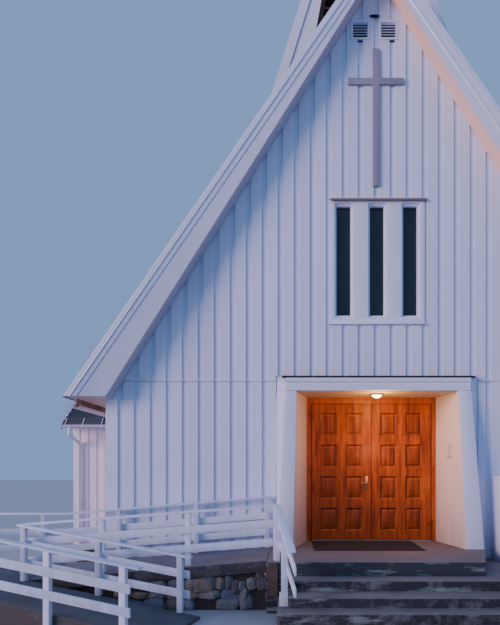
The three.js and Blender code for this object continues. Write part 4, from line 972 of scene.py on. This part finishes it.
def eave_slats():
    """Row of small brown slats and a cream strip behind the main gutters."""
    slats, strips = [], []
    gap = WING_RUN + 0.1
    for start, end in ((FACE - 0.3, WING_MIDDLE - gap), (WING_MIDDLE + gap, BACK_FACE + 0.3)):
        count = int((end - start) / SLAT_PITCH)
        slat = board((4.39, start, EAVE - 0.105), (4.42, start + SLAT_PITCH / 2, EAVE - 0.024))
        slats += with_twin(shade_each(repeat(slat, count, (0, SLAT_PITCH, 0)), count, 9))
        strips += with_twin(board((4.384, start, EAVE - 0.026), (4.426, end, EAVE + 0.003), 0.002))
    placed("eave_slats", join(*slats), SLAT_TIMBER, "louvre_timber")
    placed("eave_strips", join(*strips), CEILING_PAINTED_WARM_LIGHT)


rake_strips("front", verge_low.y + VERGE_SET, -1)
rake_strips("back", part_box("back_bargeboards")[1].y - VERGE_SET, 1)
soffit_boards("front_soffit_boards", roof_low.y + 0.004, FACE - COVER_PROUD)
soffit_boards("back_soffit_boards", BACK_FACE + COVER_PROUD, roof_high.y - 0.004)
ridge_caps()
turret_strips()
wing_verges()
gutter_straps()
downpipe()
eave_slats()


# Doorway
def doorway_trim():
    """Two fascia boards under the flashing, and the boards of the recess's ceiling."""
    boards = []
    for half, foot, head, out in ((FASCIA_HALF + 0.006, head_high.z - 0.062, head_high.z - 0.002, 0.010),
                                  (FASCIA_HALF, head_low.z + 0.002, head_high.z - 0.066, 0.002)):
        plank = block((-half, head_low.y - out - 0.012, foot), (half, head_low.y + 0.03, head))
        boards.append(soften(plank, 0.006, 3))
    placed("doorway_fascia", shade_each(join(*boards), len(boards), 3), SMOOTH_PAINT)
    planks = []
    for n in range(8):
        depth = 0.035 + n * 0.105
        half = 1.235 - 0.19 * (depth + 0.255) / 1.09
        near = head_low.y + depth
        planks.append(board((-half, near, head_low.z - 0.014), (half, near + 0.099, head_low.z + 0.002)))
    placed("doorway_ceiling_boards", shade_each(join(*planks), len(planks), 5), PORCH_PAINT)


def doorway_fittings():
    """The lamp's base, the flashing's curled outlet, a hooked bar on the right cheek and the door mat."""
    x, y = 0.017, 0.025
    base = rod((x, y, head_low.z - 0.036), (x, y, head_low.z - 0.010), 0.099, 32)
    placed("lamp_base", soften(base, 0.005), DARK_METAL, "flashing", smooth=35)
    middle = Vector((-1.462, head_low.y - 0.02, head_high.z - 0.010))
    curl = settle(added(bpy.ops.mesh.primitive_torus_add, major_segments=24, minor_segments=10, major_radius=0.036,
                        minor_radius=0.013, location=middle, rotation=(math.radians(90), 0, 0)))
    trim(curl, middle, (-1, 0, 0))
    trim(curl, middle + Vector((0, 0, 0.02)), (0, 0, 1))
    lip = rod(middle + Vector((0.004, 0, -0.036)), middle + Vector((-0.034, 0, -0.040)), 0.014)
    placed("flashing_outlet", join(curl, lip), WHITE_METAL, smooth=35)
    x, y = 1.105, -0.024
    bar = soften(block((x - 0.005, y - 0.007, 1.975), (x + 0.005, y + 0.007, 2.17)), 0.003)
    foot = soften(block((x - 0.055, y - 0.007, 1.965), (x + 0.02, y + 0.007, 1.978)), 0.003)
    stubs = [rod((x, y, z), (x + 0.045, y, z), 0.005, 12) for z in (1.99, 2.155)]
    placed("cheek_hook", join(bar, foot, *stubs), BARE_METAL, "flashing", smooth=35)
    mat = soften(block((-0.96, -0.675, FLOOR - 0.001), (0.62, 0.515, FLOOR + 0.011)), 0.005)
    rib = board((-0.94, -0.655, FLOOR + 0.009), (-0.932, 0.495, FLOOR + 0.0135), 0.001)
    placed("door_mat", join(mat, repeat(rib, 90, (0.0172, 0, 0))), MAT_FIBRE, "flashing")


def gable_fittings():
    """A flat floodlight near the apex, the dark lips under the vents and a sheet on the window's head."""
    x, z = -0.041, 8.556
    shell = added(bpy.ops.mesh.primitive_uv_sphere_add, segments=24, ring_count=12, radius=0.078,
                  location=(x, FACE - 0.034, z))
    shell.scale = (1, 0.4, 0.3)
    parts = [trim(settle(shell), (x, 0, z), (0, 0, 1)),
             board((x - 0.014, FACE - 0.034, z - 0.012), (x + 0.014, FACE + 0.002, z + 0.008), 0.002)]
    for middle in (-0.265, 0.205):
        parts.append(board((middle - 0.057, FACE - 0.022, 8.182), (middle + 0.057, FACE + 0.002, 8.193), 0.002))
    placed("gable_fittings", join(*parts), DARK_METAL, "flashing", smooth=35)
    low, high = window_low, window_high
    sheet = board((low.x + 0.03, low.y - 0.012, high.z - 0.052), (high.x + 0.004, low.y + 0.01, high.z - 0.018), 0.002)
    placed("window_head_sheet", sheet, BROWN_METAL, "flashing")


doorway_trim()
doorway_fittings()
gable_fittings()


# Rubble under the ramp
def stone_shape(seed):
    """A rounded, uneven stone about one unit across."""
    stone = added(bpy.ops.mesh.primitive_cube_add, size=1)
    edited(stone, bpy.ops.mesh.subdivide, number_cuts=4)
    edited(stone, bpy.ops.transform.tosphere, value=0.42)
    edited(stone, bpy.ops.transform.vertex_random, offset=0.13, seed=seed, normal=0.3)
    return modify(stone, "SMOOTH", factor=0.5, iterations=2)


def stone_heap(name, spots, seed):
    """Copies of a few stones, each turned and sized for its spot, and cut off at the ground."""
    chance = np.random.default_rng(seed)
    shapes = [stone_shape(n) for n in range(7)]
    stones = []
    for middle, size in spots:
        stone = copied(shapes[chance.integers(len(shapes))])
        turned(stone, Matrix.Rotation(chance.uniform(-0.25, 0.25), 4, "Y")
               @ Matrix.Rotation(chance.uniform(-3, 3), 4, "Z"))
        stones.append(turned(stone, Matrix.Translation(middle) @ Matrix.Diagonal((*size, 1))))
    for shape in shapes:
        bpy.data.objects.remove(shape)
    heap = trim(shade_each(join(*stones), len(stones), seed), (0, 0, 0), (0, 0, -1))
    placed(name, heap, RUBBLE, "stone", smooth=50)


def courses(length, place, top_at, seed):
    """Spots for stones in rough courses: `place` gives the plan point of a distance, `top_at` its height."""
    chance = np.random.default_rng(seed)
    spots = []
    z = 0.0
    while True:
        height = chance.uniform(0.09, 0.15)
        s = chance.uniform(0, 0.1)
        used = False
        while s < length:
            width = chance.uniform(0.10, 0.29)
            room = top_at(s + width / 2) - z
            if room > height * 0.6:
                tall = min(height * chance.uniform(0.7, 1.3), room + 0.01)
                size = (width * chance.uniform(0.85, 1.05), 0.15 * chance.uniform(0.7, 1.0), tall)
                if chance.random() > 0.12:
                    spots.append((place(s + width / 2) + Vector((0, 0, z + tall * 0.5)), size))
                used = True
            s += width
        if not used:
            return spots
        z += height


def rubble():
    ramp_low, ramp_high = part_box("ramp_stone_base")
    land_low, land_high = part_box("landing_stone_base")
    front = ramp_low.y + 0.02
    length = ramp_high.x - ramp_low.x

    def ramp_top(s):
        return land_high.z + (ramp_high.z - land_high.z) * s / length

    def landing_top(s):
        return land_high.z

    spots = courses(length, lambda s: Vector((ramp_low.x + s, front, 0)), ramp_top, 4)
    spots += courses(land_high.x - land_low.x, lambda s: Vector((land_low.x + s, land_low.y + 0.02, 0)),
                     landing_top, 5)
    spots += [((-2.0, front - 0.01, 0.29), (0.14, 0.16, 0.18)), ((-2.425, front - 0.01, 0.322), (0.25, 0.16, 0.165))]
    stone_heap("rubble_front", spots, 6)
    spots = courses(land_high.y - land_low.y, lambda s: Vector((land_low.x + 0.02, land_low.y + s, 0)),
                    landing_top, 7)
    stone_heap("rubble_end", [(middle, (deep, wide, tall)) for middle, (wide, deep, tall) in spots], 8)
    plate = block((-1.578, -1.783, 0.215), (-1.456, -1.760, FLOOR - 0.012))
    placed("steps_cheek", soften(plate, 0.006), CHEEK_STONE, "stone")


rubble()


# Doors
def door_leaf(side):
    """A framed leaf: scored along its stiles and rails, then its panels sunk and raised on both faces."""
    name = f"door_{HAND[side]}"
    low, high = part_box(name)
    left = low.x + (KNUCKLE_REACH if side < 0 else 0)
    right = high.x - (KNUCKLE_REACH if side > 0 else 0)
    leaf = block((left, high.y - LEAF_THICKNESS, low.z), (right, high.y, high.z))
    width = (right - left - STILE * (PANEL_COLUMNS + 1)) / PANEL_COLUMNS
    height = (high.z - low.z - RAIL * (PANEL_ROWS + 1)) / PANEL_ROWS
    columns = [left + STILE + n * (width + STILE) for n in range(PANEL_COLUMNS)]
    rows = [low.z + RAIL + n * (height + RAIL) for n in range(PANEL_ROWS)]
    for x in columns:
        split(leaf, (x, 0, 0), (1, 0, 0))
        split(leaf, (x + width, 0, 0), (1, 0, 0))
    for z in rows:
        split(leaf, (0, 0, z), (0, 0, 1))
        split(leaf, (0, 0, z + height), (0, 0, 1))

    def panel_of(face):
        x, z = face.center.x, face.center.z
        return ([n for n, start in enumerate(columns) if start < x < start + width],
                [n for n, start in enumerate(rows) if start < z < start + height])

    picked(leaf, "FACE", "polygons", lambda face: abs(face.normal.y) > 0.9 and all(panel_of(face)))
    for thickness, depth in ((0.003, -0.009), (0.014, -0.005), (0.004, -0.004), (0.008, 0.0), (0.030, 0.012)):
        bpy.ops.mesh.inset(thickness=thickness, depth=depth, use_individual=True)
    bpy.ops.object.mode_set(mode="OBJECT")
    tone_and_paint_shade_on_leaf(leaf, panel_of)
    knuckles = [leaf_knuckle(side, low, high, level) for level in HINGE_LEVELS]
    piece = placed(name + "_panelled", join(leaf, *knuckles), DOOR_TIMBER, "door_timber", f"{HAND[side]}_leaf",
                   smooth=25)
    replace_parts(piece, name)


def tone_and_paint_shade_on_leaf(leaf, panel_of):
    """Gives the stiles, the rails and each panel of a leaf their own value of `shade`; the panels' sloped faces also
    get painted shade where they look down or right and painted light where they look up or left.
    """
    chance = np.random.default_rng(len(leaf.data.polygons))
    panels = chance.uniform(-0.45, 0.25, (PANEL_COLUMNS, PANEL_ROWS))
    values = []
    for face in leaf.data.polygons:
        column, row = panel_of(face)
        x, z = face.normal.x, face.normal.z
        if column and row:
            # Painted shade on panel faces that look down or right, painted light on those that look up or left.
            values.append(panels[column[0], row[0]] - (x - z) / max(abs(x) + abs(z), 0.15))
        else:
            values.append(0.75 if column else 1.0)
    shaded(leaf, values)


def leaf_knuckle(side, low, high, level):
    """Lower half of a hinge on the leaf's outer face, centred on its axis."""
    x = (high.x if side > 0 else low.x) - side * HINGE_INSET
    y, z = low.y + HINGE_INSET, FLOOR + level
    barrel = rod((x, y, z), (x, y, z + KNUCKLE_HEIGHT), KNUCKLE_RADIUS)
    plate = board((x - side * 0.006, y - 0.005, z),
                  (x - side * 0.038, high.y - LEAF_THICKNESS + 0.002, z + KNUCKLE_HEIGHT), 0.001)
    return join(barrel, plate)


door_leaf(-1)
door_leaf(1)

# Softened copies of the CAD pieces that show at close range
for NAMES, *FINISH in (
        ("portal_jamb_left portal_jamb_right", 0.004, PORTAL_PAINT),
        ("portal_head front_window_frame side_cabinet vent_left vent_right", 0.004, SMOOTH_PAINT),
        ("railing_wall railing_front railing_return railing_outer railing_end railing_stair", 0.004, RAIL_PAINT),
        ("front_bargeboards back_bargeboards", 0.006, SMOOTH_PAINT),
        ("entrance_steps", 0.012, STEP_CONCRETE, "concrete", 3),
        ("entrance_platform", 0.012, SLAB_CONCRETE, "concrete", 3),
        ("ramp_landing ramp_lower", 0.012, LANDING_CONCRETE, "concrete", 3),
        ("ramp_upper", 0.01, CONCRETE, "concrete"),
        ("facade_cross", 0.005, CROSS_PAINT, "cross_paint"),
        ("door_frame", 0.003, FRAME_TIMBER, "door_timber"),
        ("door_handle", 0.0015, BRASS, "brass", 2, "left_leaf")):
    for NODE in NAMES.split():
        refined(NODE, *FINISH)

# The other CAD pieces keep their shape
for MATERIAL, NAMES in (
        (WALL_PAINT, "front_wall_left front_wall_right front_gable back_wall side_wall_left side_wall_right"),
        (WING_PAINTED_WARM_LIGHT, "wing_walls_left wing_walls_right"),
        (SMOOTH_PAINT, "tower_front tower_back"),
        (CEILING_PAINTED_WARM_LIGHT, "main_roof_left main_roof_right wing_roof_left wing_roof_right"),
        (ROOF_DARK, "tower_side_left tower_side_right"),
        (CONCRETE, "foundation"),
        (SLAB_CONCRETE, "porch_floor"),
        (BED, "ramp_stone_base landing_stone_base"),
        (FLOOR_TIMBER, "floor"),
        (LOUVRE_TIMBER, "tower_louvres_front tower_louvres_back"),
        (GLASS, "front_window_glass back_window_glass side_glass_left side_glass_right"),
        (GLASS, "wing_glass_left wing_glass_right"),
        (LAMP_GLASS, "porch_lamp"),
        (DARK_METAL, "portal_flashing tower_cross"),
        (BARE_METAL, "threshold")):
    for NODE in NAMES.split():
        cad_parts[NODE].data.materials.clear()
        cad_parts[NODE].data.materials.append(MATERIAL)


# Stage, light and camera
def light(name, kind, strength, colour, place=(0, 0, 0)):
    lamp = added(bpy.ops.object.light_add, type=kind, location=place)
    lamp.name = name
    lamp.data.energy = strength
    lamp.data.color = colour
    return lamp


def stage():
    floor = added(bpy.ops.mesh.primitive_plane_add, size=160, location=(0, 7, 0))
    floor.name = "pale_floor"
    material, tree, shader, place = new_material("pale_floor")
    dressed(tree, shader, (0.42, 0.43, 0.46, 1), 0.9)
    floor.data.materials.append(material)
    world = bpy.context.scene.world or bpy.data.worlds.new("studio")
    bpy.context.scene.world = world
    world.use_nodes = True
    background = world.node_tree.nodes["Background"]
    background.inputs[0].default_value = (0.30, 0.49, 0.90, 1)
    background.inputs[1].default_value = 0.74
    for name, direction, strength, colour in (("low_warm_key", (0.82, 0.54, -0.13), 2.9, (1.0, 0.69, 0.71)),
                                              ("soft_back", (-0.5, -0.8, -0.5), 0.6, (0.85, 0.9, 1.0))):
        sun = light(name, "SUN", strength, colour)
        sun.rotation_euler = Vector(direction).to_track_quat("-Z", "Y").to_euler()
        sun.data.angle = math.radians(30)
    for level, strength, colour in ((2.10, 19, (1.0, 0.50, 0.10)), (1.45, 15, (1.0, 0.40, 0.15))):
        glow = light("porch_glow", "POINT", strength, colour, (0.017, -0.2, FLOOR + level))
        glow.data.shadow_soft_size = 0.12


def camera():
    data = bpy.data.cameras.new("street_view")
    data.lens = 37.44
    data.sensor_width = 36
    data.shift_x = -0.0624
    data.shift_y = 0.2488
    view = bpy.data.objects.new("street_view", data)
    view.location = (-1.317, -9.855, 1.81)
    view.rotation_euler = (math.radians(90), 0, 0)
    bpy.context.scene.collection.objects.link(view)
    bpy.context.scene.camera = view


stage()
camera()
